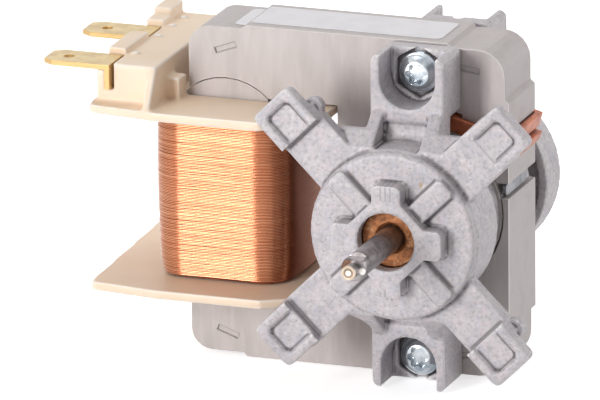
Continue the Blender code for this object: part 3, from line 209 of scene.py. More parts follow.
class Finish:
    """A material with the nodes that shape its Principled shader."""

    def __init__(self, name, metallic, roughness, **constants):
        self.material = bpy.data.materials.new(name)
        self.material.use_nodes = True
        self.tree = self.material.node_tree
        self.shader = self.tree.nodes["Principled BSDF"]
        self.wear(Metallic=metallic, Roughness=roughness)
        for socket, value in constants.items():
            self.feed(self.shader.inputs[socket.replace("_", " ")], value)

    def feed(self, socket, value):
        if isinstance(value, Signal):
            self.tree.links.new(value.socket, socket)
        elif socket.type == "RGBA":
            socket.default_value = (*value[:3], 1.0)
        else:
            socket.default_value = value

    def node(self, kind, settings=None, sockets=None, output=0):
        """A node of that kind: its settings first, then the values or links of its sockets."""
        node = self.tree.nodes.new(kind)
        for name, value in (settings or {}).items():
            setattr(node, name, value)
        for name, value in (sockets or {}).items():
            self.feed(node.inputs[name], value)
        return Signal(self, node.outputs[output])

    def math(self, operation, *terms):
        return self.node("ShaderNodeMath", {"operation": operation}, dict(enumerate(terms)))

    def vector_math(self, operation, *terms, output="Vector"):
        return self.node("ShaderNodeVectorMath", {"operation": operation},
                         dict(enumerate(terms)), output)

    def place(self):
        """Object coordinates in metres."""
        return self.node("ShaderNodeTexCoord", output="Object")

    def along(self, axis):
        """One object coordinate in metres."""
        return self.node("ShaderNodeSeparateXYZ", {}, {0: self.place()}, output=axis)

    def facing(self, axis):
        """One component of the surface's direction."""
        normal = self.node("ShaderNodeTexCoord", output="Normal")
        return self.node("ShaderNodeSeparateXYZ", {}, {0: normal}, output=axis)

    def noise(self, size, detail=2.0, rough=0.5, stretch=(1.0, 1.0, 1.0)):
        """Noise with features of about that size in metres; a stretch under 1 draws them out."""
        place = self.vector_math("MULTIPLY", self.place(), stretch)
        return self.node("ShaderNodeTexNoise", {}, {"Vector": place, "Scale": 1.0 / size,
                                                    "Detail": detail, "Roughness": rough},
                         output="Fac")

    def spot(self, centre, stretch=(1.0, 1.0, 1.0)):
        """Distance in metres from a point, with each axis stretched first."""
        offset = self.vector_math("SUBTRACT", self.place(), centre)
        offset = self.vector_math("MULTIPLY", offset, stretch)
        return self.vector_math("LENGTH", offset, output="Value")

    def outline(self, centre, turn_deg, half_long, half_wide, line):
        """1 on the outline of a turned rectangle seen along Y; a stroke if its half width is 0."""
        slope = math.radians(turn_deg)
        x = self.along("X") - centre[0]
        z = self.along("Z") - centre[1]
        long = self.math("ABSOLUTE", x * math.cos(slope) + z * math.sin(slope)) - half_long
        wide = self.math("ABSOLUTE", z * math.cos(slope) - x * math.sin(slope)) - half_wide
        gap = self.math("ABSOLUTE", self.math("MAXIMUM", long, wide))
        return gap.step(line, line * 0.4)

    def measure(self, name):
        """A number that the mesh carries for each vertex."""
        return self.node("ShaderNodeAttribute", {"attribute_name": name}, output="Fac")

    def between(self, mask, low, high):
        """Colour low where the mask is 0 and high where it is 1."""
        return self.node("ShaderNodeMix", {"data_type": "RGBA"}, {0: mask, 6: low, 7: high},
                         output=2)

    def coated(self, skin, *coats):
        """A colour under others, each laid on where its mask is 1."""
        for mask, colour in coats:
            skin = self.between(mask, skin, colour)
        return skin

    def bump(self, height, depth):
        return self.node("ShaderNodeBump", {}, {"Strength": 1.0, "Distance": depth,
                                                "Height": height})

    def wear(self, **sockets):
        for name, value in sockets.items():
            self.feed(self.shader.inputs[name.replace("_", " ")], value)
        return self.material


def casting_finish(colours):
    """Die-cast skin: pale, faintly blue and pink, with fine dark specks, a small brown-stained
    spot, a few upright strokes by the bearing, painted shade in the creases and painted highlights
    on the edges."""
    cast = Finish("die_cast_skin", 0.15, 0.5)
    relief = cast.measure("relief")
    cloud = cast.noise(0.0030, 3.0)
    grain = cast.noise(0.00060, 3.0, 0.6)
    specks = cast.noise(0.00034, 1.0).step(0.71, 0.78)
    brown_patch = cast.spot(CAST_STAIN, (1.5, 1.0, 1.0)).step(0.0006, 0.0003)
    skin = cast.coated(
        colours.casting,
        (cloud.step(0.35, 0.65), seen(182, 177, 181)),
        (cast.noise(0.0014).step(0.50, 0.68) * 0.5, seen(203, 190, 193)),
        (cast.noise(0.0010).step(0.54, 0.70) * 0.5, seen(180, 180, 193)),
        (grain.step(0.50, 0.34) * 0.5, seen(150, 144, 147)),
        (grain.step(0.56, 0.72) * 0.5, seen(222, 217, 216)),
        (specks * 0.7, seen(100, 93, 96)),
        (brown_patch * 0.8, seen(178, 152, 118)))
    front = cast.along("Y").step(CAST_FRONT_Y, CAST_FRONT_Y - 0.001)
    for x, z, reach in CAST_STROKES:
        stroke = cast.outline((x, z), 90.0, reach, 0.0, 0.00016) * front
        skin = cast.coated(skin, (stroke * 0.6, seen(136, 130, 132)))
    # Painted shade in the creases and painted highlights on the edges, laid on by the relief
    # measure
    skin = cast.coated(skin, (relief.step(-0.03, -0.12), colours.casting_crease_shade),
                       (relief.step(0.09, 0.26) * 0.9, colours.casting_edge_highlight))
    height = grain * 0.6 + cloud * 0.4
    return cast.wear(Base_Color=skin, Roughness=0.44 + 0.16 * grain,
                     Normal=cast.bump(height, 0.00004))


def sheet_steel_finish(colours):
    """Punched sheets: warm matte faces with faint upright smudges and the outlines of four lock
    marks, and fine lines on the edges, with a painted highlight along the front sheet's edge."""
    steel = Finish("sheet_steel", 0.15, 0.5)
    face = steel.math("ABSOLUTE", steel.facing("Y")).step(0.5, 0.8)
    lines = steel.math("PINGPONG", steel.along("Y"), SHEET / 2) * (2 / SHEET)
    smudge = steel.noise(0.0035, 3.0, stretch=(1.0, 1.0, 0.25))
    streak = steel.noise(0.0011, stretch=(1.0, 1.0, 0.15))
    grain = steel.noise(0.0005)
    specks = steel.noise(0.00035, 1.0).step(0.72, 0.78)
    front = steel.coated(
        colours.steel,
        (smudge.step(0.35, 0.7), seen(186, 178, 176)),
        (streak.step(0.5, 0.75) * 0.5, seen(206, 198, 196)),
        (specks * 0.5, seen(140, 130, 128)))
    for x, tilt_deg in LOCK_MARKS:
        for side in (1.0, -1.0):
            place = (x, side * (STACK_HIGH.z - 0.0038))
            mark = steel.outline(place, side * tilt_deg, 0.0018, 0.00045, 0.00014)
            front = steel.coated(front, (mark * 0.6, seen(112, 104, 102)))
    edges = steel.coated(
        colours.steel_edge,
        (lines.step(0.25, 0.0) * 0.35, seen(136, 128, 126)),
        (steel.noise(0.0025, 3.0).step(0.45, 0.75) * 0.5, seen(178, 170, 168)),
        # Painted highlight: a pale band along the front sheet's edge
        (steel.along("Y").step(FACE_Y + SHEET, FACE_Y + SHEET - 0.0001), seen(228, 222, 219)))
    height = grain * 0.15 + lines.step(0.0, 0.35) * (1.0 - face)
    return steel.wear(Base_Color=steel.between(face, edges, front), Roughness=0.44 + 0.2 * grain,
                      Normal=steel.bump(height, 0.00004))


def plastic_finish(colours):
    """Satin moulded cream with a painted highlight on its edges and painted shade in its creases, a
    faint cloudiness and a row of glossy pips on the terminal block, painted near white as
    highlight."""
    cream = Finish("cream_moulding", 0.0, 0.42)
    relief = cream.measure("relief")
    cloud = cream.noise(0.006, 3.0)
    grain = cream.noise(0.0007)
    pips = 0.0
    for y in PIP_YS:
        pips = cream.spot((PIP_X, y, BLADE_TOP)).step(0.0009, 0.0004) + pips
    skin = cream.coated(
        colours.plastic,
        (cloud.step(0.35, 0.7) * 0.6, seen(243, 217, 188)),
        # Painted highlight on the edges and painted shade in the creases, from the relief measure
        (relief.step(0.04, 0.18), colours.plastic_edge_highlight),
        (relief.step(-0.05, -0.2) * 0.5, seen(222, 180, 138)),
        # Painted highlight: the pips are painted near white for their gloss
        (pips * 0.9, seen(255, 252, 247)))
    return cream.wear(Base_Color=skin, Roughness=0.38 + 0.15 * grain - 0.15 * pips,
                      Normal=cream.bump(grain * 0.05 + pips, 0.00025))


def brass_finish(colours):
    """Punched brass: greyish gold faces, clouded and finely scratched, and warmer punched edges."""
    brass = Finish("punched_brass", 0.4, 0.32)
    flat = brass.math("ABSOLUTE", brass.facing("Z")).step(0.5, 0.9)
    fine = brass.noise(0.0004, stretch=(0.2, 1.0, 1.0))
    skin = brass.coated(
        colours.brass,
        (brass.noise(0.0024, 3.0).step(0.35, 0.7), seen(206, 176, 124)),
        (fine.step(0.6, 0.8) * 0.4, seen(198, 170, 112)),
        (1.0 - flat, seen(212, 176, 116)))
    return brass.wear(Base_Color=skin, Roughness=0.26 + 0.12 * fine,
                      Normal=brass.bump(fine, SCRATCH_DEPTH))


def shaft_finish(colours):
    """Ground steel: a bright dot in a dark ring on the pale nose, and painted brown shade and a
    painted glint on the shoulder behind it."""
    steel = Finish("ground_steel", 0.9, 0.3)
    fine = steel.noise(0.0002, stretch=(0.3, 4.0, 0.3))
    shade = seen(118, 114, 114)
    nose = steel.along("Y").step(0.0004, 0.0003)
    reach = steel.spot((0.0, 0.0, 0.0), (1.0, 0.0, 1.0))
    # Painted shade: a brown patch on the shoulder's upper left; painted highlight: a glint on its
    # right
    brown_patch = steel.spot((-0.0012, 0.0024, 0.0008)).step(0.0013, 0.0008)
    painted_glint = steel.spot((0.0015, 0.0024, -0.0002)).step(0.0007, 0.0004)
    skin = steel.coated(
        colours.shaft,
        (steel.noise(0.0012, 3.0).step(0.35, 0.7), shade),
        (fine.step(0.6, 0.8) * 0.4, shade),
        (nose, seen(228, 210, 190)),
        (nose * reach.step(0.00088, 0.00078), seen(140, 124, 110)),
        (nose * reach.step(0.00050, 0.00040), seen(242, 234, 218)),
        (brown_patch, seen(100, 74, 62)),
        (painted_glint, seen(236, 230, 226)))
    return steel.wear(Base_Color=skin, Roughness=0.24 + 0.12 * fine,
                      Normal=steel.bump(fine, SCRATCH_DEPTH))


def wire_finish(colours):
    """Lacquered wire: lighter and darker turns with faint streaks along them, and painted shade,
    duller and darker, on the flank that faces the stack."""
    wire = Finish("lacquered_wire", 0.95, 0.25, Coat_Roughness=0.12)
    tone = wire.measure("turn_tone")
    # Painted shade on the flank that faces the stack: a darker colour and less coat
    flank_shade = wire.measure("shaded_flank").step(0.9, 1.0)
    streak = wire.noise(0.0004, stretch=(0.08, 0.08, 1.0))
    skin = wire.coated(
        colours.wire,
        (tone, seen(206, 142, 102)),
        (streak.step(0.55, 0.70) * 0.15, colours.wire_streak_and_groove_shade),
        (flank_shade * 0.7, seen(112, 54, 34)))
    return wire.wear(Base_Color=skin, Roughness=0.16 + 0.12 * streak + 0.12 * flank_shade,
                     Coat_Weight=(0.6 + 0.4 * tone) * (1.0 - 0.9 * flank_shade))


def coil_depth_finish(colours):
    """What shows between the turns, painted dark as shade."""
    deep = Finish("winding_depth", 0.5, 0.6)
    layer = deep.noise(0.0004, stretch=(0.1, 0.1, 1.0)).step(0.3, 0.7)
    return deep.wear(Base_Color=deep.between(layer, colours.wire_streak_and_groove_shade, seen(176, 88, 48)))


def metal_finish(name, colour, shade, metallic, roughness, size):
    """A metal whose colour clouds towards a shade, with fine scratches of that size."""
    metal = Finish(name, metallic, roughness)
    fine = metal.noise(size)
    skin = metal.coated(
        colour,
        (metal.noise(size * 6.0, 3.0).step(0.35, 0.7), shade),
        (fine.step(0.6, 0.8) * 0.4, shade))
    return metal.wear(Base_Color=skin, Roughness=roughness * 0.8 + roughness * 0.4 * fine,
                      Normal=metal.bump(fine, SCRATCH_DEPTH))


def bronze_finish(colours):
    """Sintered bronze: mottled orange-brown, oily, with black pores."""
    bronze = Finish("sintered_bronze", 0.45, 0.5)
    pores = bronze.noise(0.00028, 2.0, 0.6)
    skin = bronze.coated(
        colours.bronze,
        (bronze.noise(0.0009, 3.0).step(0.35, 0.68), seen(128, 76, 42)),
        (bronze.noise(0.0014).step(0.55, 0.7) * 0.6, seen(206, 158, 112)),
        (pores.step(0.60, 0.72), seen(44, 30, 24)))
    return bronze.wear(Base_Color=skin, Roughness=0.36 + 0.3 * pores,
                       Normal=bronze.bump(pores, 0.00003))


def soft_finish(name, colour, shade, size):
    """Felt or fibre: matte, with short fibres."""
    soft = Finish(name, 0.0, 0.92)
    hair = soft.noise(size, 4.0, 0.7)
    return soft.wear(Base_Color=soft.between(hair.step(0.3, 0.7), colour, shade),
                     Normal=soft.bump(hair, size * 0.2))


def paper_finish(colours):
    """Blank label: smooth white film with a faint cloudiness."""
    paper = Finish("blank_label", 0.0, 0.34)
    cloud = paper.noise(0.004, 3.0)
    skin = paper.between(cloud.step(0.4, 0.7) * 0.5, colours.label, seen(222, 220, 225))
    return paper.wear(Base_Color=skin, Normal=paper.bump(cloud, 0.00002))


# Meshes

def grid_faces(rows, columns, closed):
    """Corners of the quads of a grid of points, by whole index arrays. In a closed grid the last
    column joins the first."""
    down = np.arange(rows - 1)
    across = np.arange(columns if closed else columns - 1)
    row, column = np.meshgrid(down, across, indexing="ij")
    here = row * columns
    below = here + columns
    beside = (column + 1) % columns
    corners = (here + column, here + beside, below + beside, below + column)
    return np.stack(corners, axis=-1).reshape(-1, 4)


def surface(name, points, closed=False, measures=None):
    """An object over a grid of points of shape (rows, columns, 3)."""
    rows, columns = points.shape[:2]
    mesh = bpy.data.meshes.new(name)
    mesh.from_pydata(points.reshape(-1, 3), [], grid_faces(rows, columns, closed))
    for key, values in (measures or {}).items():
        mesh.attributes.new(key, "FLOAT", "POINT").data.foreach_set("value", values.ravel())
    return placed(name, mesh)


def placed(name, data):
    """A new object in the scene."""
    piece = bpy.data.objects.new(name, data)
    bpy.context.scene.collection.objects.link(piece)
    return piece


def tidied(piece, sharp_deg=40.0):
    """Closes poles and seams, points the faces outwards and shades the piece smooth."""
    mesh = piece.data
    shell = bmesh.new()
    shell.from_mesh(mesh)
    bmesh.ops.remove_doubles(shell, verts=shell.verts, dist=1e-7)
    bmesh.ops.recalc_face_normals(shell, faces=shell.faces)
    shell.to_mesh(mesh)
    shell.free()
    mesh.shade_smooth()
    mesh.set_sharp_from_angle(angle=math.radians(sharp_deg))
    return piece


def copied(name, node):
    """A merged copy of a frame node, with its flat faces whole again."""
    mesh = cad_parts[node].data.copy()
    mesh.name = name
    mesh.materials.clear()
    shell = bmesh.new()
    shell.from_mesh(mesh)
    bmesh.ops.remove_doubles(shell, verts=shell.verts, dist=1e-6)
    bmesh.ops.dissolve_limit(shell, angle_limit=math.radians(0.5),
                             verts=shell.verts, edges=shell.edges)
    shell.to_mesh(mesh)
    shell.free()
    return placed(name, mesh)


def applied(piece):
    """The piece with its modifiers worked into its mesh."""
    graph = bpy.context.evaluated_depsgraph_get()
    graph.update()
    result = bpy.data.meshes.new_from_object(piece.evaluated_get(graph))
    result.name = piece.name
    piece.modifiers.clear()
    piece.data = result
    return piece


def softened(name, node, grain, rounds):
    """A node's skin on an even net of cells, smoothed so that its edges turn round."""
    piece = copied(name, node)
    skin = piece.modifiers.new("skin", "REMESH")
    skin.mode = "VOXEL"
    skin.voxel_size = grain
    skin.use_smooth_shade = True
    if rounds:
        ease = piece.modifiers.new("round_edges", "SMOOTH")
        ease.factor = 0.5
        ease.iterations = rounds
    applied(piece)
    piece.data.shade_smooth()
    mark_relief(piece.data)
    return piece


def edged(name, node, width):
    """A node's copy with a small round on its edges."""
    sharp = math.radians(35)
    piece = copied(name, node)
    piece.data.shade_smooth()
    piece.data.set_sharp_from_angle(angle=sharp)
    bevel = piece.modifiers.new("round_edges", "BEVEL")
    bevel.width = width
    bevel.segments = 2
    bevel.limit_method = "ANGLE"
    bevel.angle_limit = sharp
    bevel.harden_normals = True
    return piece


def gathered(items, key, width, kind):
    """One value of every item, as an array with that many columns."""
    values = np.empty(len(items) * width, kind)
    items.foreach_get(key, values)
    return values.reshape(-1, width)


def mark_relief(mesh):
    """Writes how far each vertex stands out: the mean drop of its neighbours below its tangent
    plane, over their distance, averaged once with theirs. Edges are above 0, creases below."""
    count = len(mesh.vertices)
    places = gathered(mesh.vertices, "co", 3, np.float32)
    normals = gathered(mesh.vertex_normals, "vector", 3, np.float32)
    first, second = gathered(mesh.edges, "vertices", 2, np.int32).T
    span = places[second] - places[first]
    length = np.maximum(np.linalg.norm(span, axis=1), 1e-9)
    drop_first = -(normals[first] * span).sum(1) / length
    drop_second = (normals[second] * span).sum(1) / length
    valence = np.bincount(first, minlength=count) + np.bincount(second, minlength=count)
    total = np.bincount(first, drop_first, count) + np.bincount(second, drop_second, count)
    relief = total / valence
    near = np.bincount(first, relief[second], count) + np.bincount(second, relief[first], count)
    relief = ((relief + near / valence) / 2.0).astype(np.float32)
    mesh.attributes.new("relief", "FLOAT", "POINT").data.foreach_set("value", relief)


def round_angles(steps):
    """That many even angles round a full turn."""
    return np.arange(steps) * TURN / steps


def eased(share):
    """Smooth rise from 0 to 1: three times the square less twice the cube of the share."""
    share = np.clip(share, 0.0, 1.0)
    return share * share * (3.0 - 2.0 * share)


def around(r, y, a, centre=(0.0, 0.0)):
    """Points round a line along Y: x = r cos a and z = r sin a from the line's own x and z."""
    x = centre[0] + r * np.cos(a)
    z = centre[1] + r * np.sin(a)
    return np.stack(np.broadcast_arrays(x, y, z), axis=-1)


def turned(name, profile):
    """A (radius, y) profile carried round the shaft's line."""
    radius, y = np.array(profile).T[..., None]
    return tidied(surface(name, around(radius, y, round_angles(96)), closed=True))


def bend(centre, radius, start_deg, end_deg, steps):
    """Profile points along an arc: centre + radius (cos a, sin a)."""
    angle = np.radians(np.linspace(start_deg, end_deg, steps + 1))
    return list(zip(centre[0] + radius * np.cos(angle), centre[1] + radius * np.sin(angle)))


def dressed(piece, material, body, slot, *nodes):
    """Gives a piece its finish and its body, and hides the frame nodes that it stands for."""
    piece.data.materials.append(material)
    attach(piece, body)
    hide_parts(*nodes)
    return piece


def refinish(material, *nodes):
    """Puts a finish on frame nodes whose own shape stays."""
    for node in nodes:
        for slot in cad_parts[node].material_slots:
            slot.material = material


# Pieces

class MOTOR_OT_castings(bpy.types.Operator):
    """The two die-cast brackets and the rotor's cast cage"""
    bl_idname = "motor.castings"
    bl_label = "Castings"

    def execute(self, context):
        sizes = context.scene.motor_sizes
        cast = casting_finish(context.scene.motor_colours)
        for node in ("front_bracket", "rear_bracket"):
            piece = softened(f"{node}_casting", node, sizes.casting_grain, sizes.casting_rounds)
            dressed(piece, cast, "stator", "die_cast_aluminium", node)
        refinish(cast, "rotor_cage")
        return {"FINISHED"}


class MOTOR_OT_stack(bpy.types.Operator):
    """The punched sheets of the stack, the coil's core and the rotor"""
    bl_idname = "motor.stack"
    bl_label = "Sheet stack"

    fit: length_setting("Core fit", "How much the core fills its gap to the stack", 0.00012)

    def execute(self, context):
        colours = context.scene.motor_colours
        steel = sheet_steel_finish(colours)
        refinish(steel, "stator_stack", "rotor_core")
        low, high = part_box("coil_core")
        middle = (low + high) / 2
        room = (high - low) / 2
        grow = Matrix.Diagonal((1.0 + self.fit / room.x, 1.0, 1.0 + self.fit / room.z, 1.0))
        core = copied("core_sheets", "coil_core")
        core.data.transform(Matrix.Translation(middle) @ grow @ Matrix.Translation(-middle))
        dressed(tidied(core, 30.0), steel, "stator", "lamination_steel", "coil_core")
        strip = metal_finish("strip_steel", colours.spring, seen(112, 112, 118), 0.8, 0.4, 0.0004)
        refinish(strip, "magnetic_bridge")
        return {"FINISHED"}


class MOTOR_OT_bobbin(bpy.types.Operator):
    """The moulded bobbin with its terminal block"""
    bl_idname = "motor.bobbin"
    bl_label = "Bobbin"

    def execute(self, context):
        sizes = context.scene.motor_sizes
        cream = plastic_finish(context.scene.motor_colours)
        piece = softened("bobbin_moulding", "bobbin", sizes.plastic_grain, sizes.plastic_rounds)
        dressed(piece, cream, "stator", "cream_plastic", "bobbin")
        return {"FINISHED"}


def round_box(share, half_x, half_y, corner):
    """Point and outward direction at a share of the way round a rectangle with round corners.

    The corner's centre and the direction's angle both change evenly between the eight joints of
    straight and arc: along a straight only the centre moves, along an arc only the angle turns.
    """
    reach_x = half_x - corner
    reach_y = half_y - corner
    quarter = corner * math.pi / 2.0
    knots = np.cumsum([0.0] + [2 * reach_y, quarter, 2 * reach_x, quarter] * 2)
    centre_x = np.array((1, 1, 1, -1, -1, -1, -1, 1, 1)) * reach_x
    centre_y = np.array((-1, 1, 1, 1, 1, -1, -1, -1, -1)) * reach_y
    angle = np.array((0, 0, 1, 1, 2, 2, 3, 3, 4)) * math.pi / 2.0
    way = np.mod(share, 1.0) * knots[-1]
    turn = np.interp(way, knots, angle)
    outward = np.stack((np.cos(turn), np.sin(turn)), axis=-1)
    centre = np.stack((np.interp(way, knots, centre_x), np.interp(way, knots, centre_y)), axis=-1)
    return centre + corner * outward, outward


class MOTOR_OT_winding(bpy.types.Operator):
    """The coil's outer layer, one lacquered wire wound turn by turn"""
    bl_idname = "motor.winding"
    bl_label = "Winding"

    steps: count_setting("Steps", "Points along each turn", 24, 72)
    sides: count_setting("Sides", "Sides of the wire's section", 4, 6)

    def execute(self, context):
        """The wire's section is a circle carried along a line that goes round the coil's outline
        and up by one pitch in each turn, with a smooth wave in its height and in its depth."""
        colours = context.scene.motor_colours
        sizes = context.scene.motor_sizes
        low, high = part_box("winding")
        middle = (low + high) / 2
        half = (high - low) / 2
        radius = sizes.wire_diameter / 2
        turn_inset, below_inset = 1.4 * radius, 1.8 * radius
        start = low.z + radius
        turns = int((high.z - low.z - 2 * radius) / sizes.wire_pitch)
        rng = np.random.default_rng(7)
        way = np.arange(turns * self.steps + 1) / self.steps
        turn = np.minimum(way.astype(int), turns - 1)
        rise = self.wander(rng, way, turn, turns) * sizes.wire_wander
        swell = self.wander(rng, way, turn, turns) * sizes.wire_wander
        z = start + way * sizes.wire_pitch + rise
        line, outward = round_box(way, half.x, half.y, sizes.coil_corner)
        depth = turn_inset + self.narrowing((z - low.z) / (high.z - low.z)) - swell
        depth -= self.bulge(line, outward, half.y)
        angle = round_angles(self.sides)
        out = radius * np.cos(angle) - depth[:, None]
        points = np.empty((len(way), self.sides, 3))
        points[..., 0] = middle.x + line[:, None, 0] + outward[:, None, 0] * out
        points[..., 1] = middle.y + line[:, None, 1] + outward[:, None, 1] * out
        points[..., 2] = np.clip(z[:, None] + radius * np.sin(angle), low.z, high.z)
        tone = np.repeat(rng.random(turns)[turn][:, None], self.sides, axis=1)
        # How far each turn faces +X, which sets the painted shade on the flank by the stack
        flank_shade = np.repeat(outward[:, :1], self.sides, axis=1)
        wires = surface("winding_turns", points, closed=True,
                        measures={"turn_tone": tone, "shaded_flank": flank_shade})
        tidied(wires, 180.0)
        dressed(wires, wire_finish(colours), "stator", "enamelled_wire", "winding")
        below = self.layers_below(middle, half, sizes.coil_corner, below_inset)
        dressed(below, coil_depth_finish(colours), "stator", "enamelled_wire", "winding")
        return {"FINISHED"}

    @staticmethod
    def narrowing(height):
        """Inset at a height from 0 to 1: a straight taper to the foot, less a bulge of half a sine
        wave, and a square-law round over the lowest seventh."""
        inset, taper, swell, foot_round, foot_height = 0.00007, 0.0003, 0.0002, 0.0006, 0.14
        foot = np.clip(1.0 - height / foot_height, 0.0, 1.0)
        side = inset + taper * (1.0 - height) - swell * np.sin(math.pi * height)
        return side + foot_round * foot ** 2

    @staticmethod
    def bulge(line, outward, half_y):
        """How far the flank by the stack swells: a parabola along the flank, in full where the coil
        faces +X and fading with the square of that over the corners."""
        swell = 0.0011
        facing = np.clip(outward[..., 0], 0.0, 1.0) ** 2
        return swell * facing * np.maximum(1.0 - (line[..., 1] / half_y) ** 2, 0.0)

    @staticmethod
    def wander(rng, way, turn, turns):
        """A smooth wave for each turn: three harmonics of random size and phase."""
        total = np.zeros_like(way)
        for harmonic in (1, 3, 8):
            size = rng.normal(0.0, 0.6 / harmonic ** 0.3, turns)
            phase = rng.random(turns) * TURN
            wave = np.sin(harmonic * TURN * way + phase[turn])
            total += size[turn] * wave * np.sin(math.pi * (way % 1.0))
        return total

    def layers_below(self, middle, half, corner, inset):
        """The lower layers as one smooth body: the coil's outline carried up its height, narrowed
        as the turns are, and closed at both ends."""
        share = np.linspace(0.0, 1.0, 97)[:-1]
        height = np.linspace(0.0, 1.0, 25)
        line, outward = round_box(share, half.x, half.y, corner)
        depth = inset + self.narrowing(height)[:, None] - self.bulge(line, outward, half.y)
        points = np.empty((len(height) + 2, len(share), 3))
        points[:, :, :2] = np.array(middle)[:2]
        points[1:-1, :, :2] += line - outward * depth[..., None]
        level = np.concatenate(((0.0,), height, (1.0,)))
        points[:, :, 2] = (middle.z + half.z * (2.0 * level - 1.0))[:, None]
        return tidied(surface("winding_layers_below", points, closed=True))


class MOTOR_OT_terminals(bpy.types.Operator):
    """The two push-on blades with their rounded punched edges"""
    bl_idname = "motor.terminals"
    bl_label = "Blades"

    def execute(self, context):
        brass = brass_finish(context.scene.motor_colours)
        for node in ("terminal_front", "terminal_rear"):
            dressed(edged(f"{node}_blade", node, 0.00012), brass, "stator", "tab_brass", node)
        return {"FINISHED"}


class MOTOR_OT_label(bpy.types.Operator):
    """The blank label on top of the stack"""
    bl_idname = "motor.label"
    bl_label = "Label"

    left: length_setting("Left reach", "From the shaft to the label's left end", 0.0325)
    right: length_setting("Right reach", "From the shaft to the label's right end", 0.0019)
    front: length_setting("Front inset", "From the stack's face to the label", 0.0021)
    width: length_setting("Width", "Label's width along the shaft", 0.0094)

    def execute(self, context):
        """The sheet's half length shrinks near its long edges by the corner's circle, and its
        height eases down by one step of the stack's top at the left end."""
        step_x, step_run, step_drop = -0.0294, 0.0014, 0.00056
        lift = 0.00003
        sizes = context.scene.motor_sizes
        across = np.linspace(-1.0, 1.0, 41) * self.width / 2
        along = np.linspace(-1.0, 1.0, 121)
        flat_half = self.width / 2 - sizes.label_corner
        into = np.maximum(np.abs(across) - flat_half, 0.0)
        pull = sizes.label_corner - np.sqrt(np.maximum(sizes.label_corner ** 2 - into ** 2, 0.0))
        half = (self.left + self.right) / 2
        x = (self.right - self.left) / 2 + along[None, :] * (half - pull[:, None])
        z = STACK_HIGH.z + lift - step_drop * eased((step_x - x) / step_run)
        y = np.broadcast_to((FACE_Y + self.front + self.width / 2 + across)[:, None], x.shape)
        piece = surface("blank_label", np.stack((x, y, z), axis=-1))
        tidied(piece)
        if piece.data.polygons[0].normal.z < 0:
            piece.data.flip_normals()
        sheet = piece.modifiers.new("thickness", "SOLIDIFY")
        sheet.thickness = sizes.label_thickness
        sheet.offset = 1.0
        piece.data.materials.append(paper_finish(context.scene.motor_colours))
        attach(piece, "stator")
        return {"FINISHED"}


class MOTOR_OT_shaft(bpy.types.Operator):
    """The ground shaft with its flat and its nibbed tip"""
    bl_idname = "motor.shaft"
    bl_label = "Shaft"

    flat_length: length_setting("Flat length", "From the tip to the flat's end", 0.0048)
    flat_depth: length_setting("Flat depth", "How deep the flat is cut", 0.0006)

    def execute(self, context):
        """Turned about Y, then cut flat: near the tip no point is higher than the flat."""
        low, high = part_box("shaft")
        radius = (high.x - low.x) / 2
        tip = low.y
        nib, ring, step, shoulder, chamfer = 0.00115, 0.00012, 0.0023, 0.0003, 0.0005
        flat_end = tip + self.flat_length
        flat_wall = 0.00002
        profile = [(0.0, tip + 0.00006), (0.00042, tip + 0.00006), (0.00050, tip + 0.00016),
                   (nib - 2 * ring, tip + 0.00014), (nib - ring, tip), (nib, tip + ring),
                   (nib, tip + step)]
        profile += bend((radius - shoulder, tip + step + shoulder), shoulder, -90.0, 0.0, 6)
        profile += [(radius, flat_end - flat_wall), (radius, flat_end)]
        profile += [(radius, high.y - chamfer), (radius - chamfer, high.y), (0.0, high.y)]
        rim, y = np.array(profile).T[..., None]
        top = radius - self.flat_depth
        edge = math.asin(top / radius)
        angle = np.unique(np.concatenate((round_angles(96), (edge, math.pi - edge))))
        points = around(rim, y, angle)
        z = points[..., 2]
        points[..., 2] = np.where(y < flat_end - flat_wall / 2, np.minimum(z, top), z)
        piece = tidied(surface("ground_shaft", points, closed=True), 30.0)
        steel = shaft_finish(context.scene.motor_colours)
        dressed(piece, steel, "rotor", "shaft_steel", "shaft")
        refinish(steel, "front_rotor_spacer", "rear_rotor_spacer")
        return {"FINISHED"}


class MOTOR_OT_bearings(bpy.types.Operator):
    """The ball-shaped bronze bearings and what holds and oils them"""
    bl_idname = "motor.bearings"
    bl_label = "Bearings"

    def execute(self, context):
        """Each bearing is an arc of its ball between two flat ends, with a countersunk bore."""
        colours = context.scene.motor_colours
        bronze = bronze_finish(colours)
        bore = 0.0021
        sink = 0.0005
        for node in ("front_bearing", "rear_bearing"):
            low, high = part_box(node)
            ball = (high.x - low.x) / 2
            half = (high.y - low.y) / 2
            centre = (low.y + high.y) / 2
            edge = math.degrees(math.asin(min(half / ball, 1.0)))
            arc = bend((0.0, centre), ball, edge, -edge, 32)
            near, far = centre - half, centre + half
            profile = [(bore, near + sink), (bore, far - sink), (bore + sink, far)]
            profile += arc + [(bore + sink, near), (bore, near + sink)]
            dressed(turned(f"{node}_bronze", profile), bronze, "stator", "sintered_bronze", node)
        shade = seen(120, 120, 126)
        refinish(metal_finish("spring_strip", colours.spring, shade, 0.85, 0.35, 0.0004),
                 "front_bearing_retainer", "rear_bearing_retainer")
        refinish(soft_finish("oiled_felt", colours.felt, seen(120, 104, 78), 0.0003),
                 "front_oil_felt", "rear_oil_felt")
        refinish(soft_finish("hard_fibre", colours.fibre, seen(78, 50, 34), 0.0003),
                 "front_thrust_washer", "rear_thrust_washer")
        return {"FINISHED"}


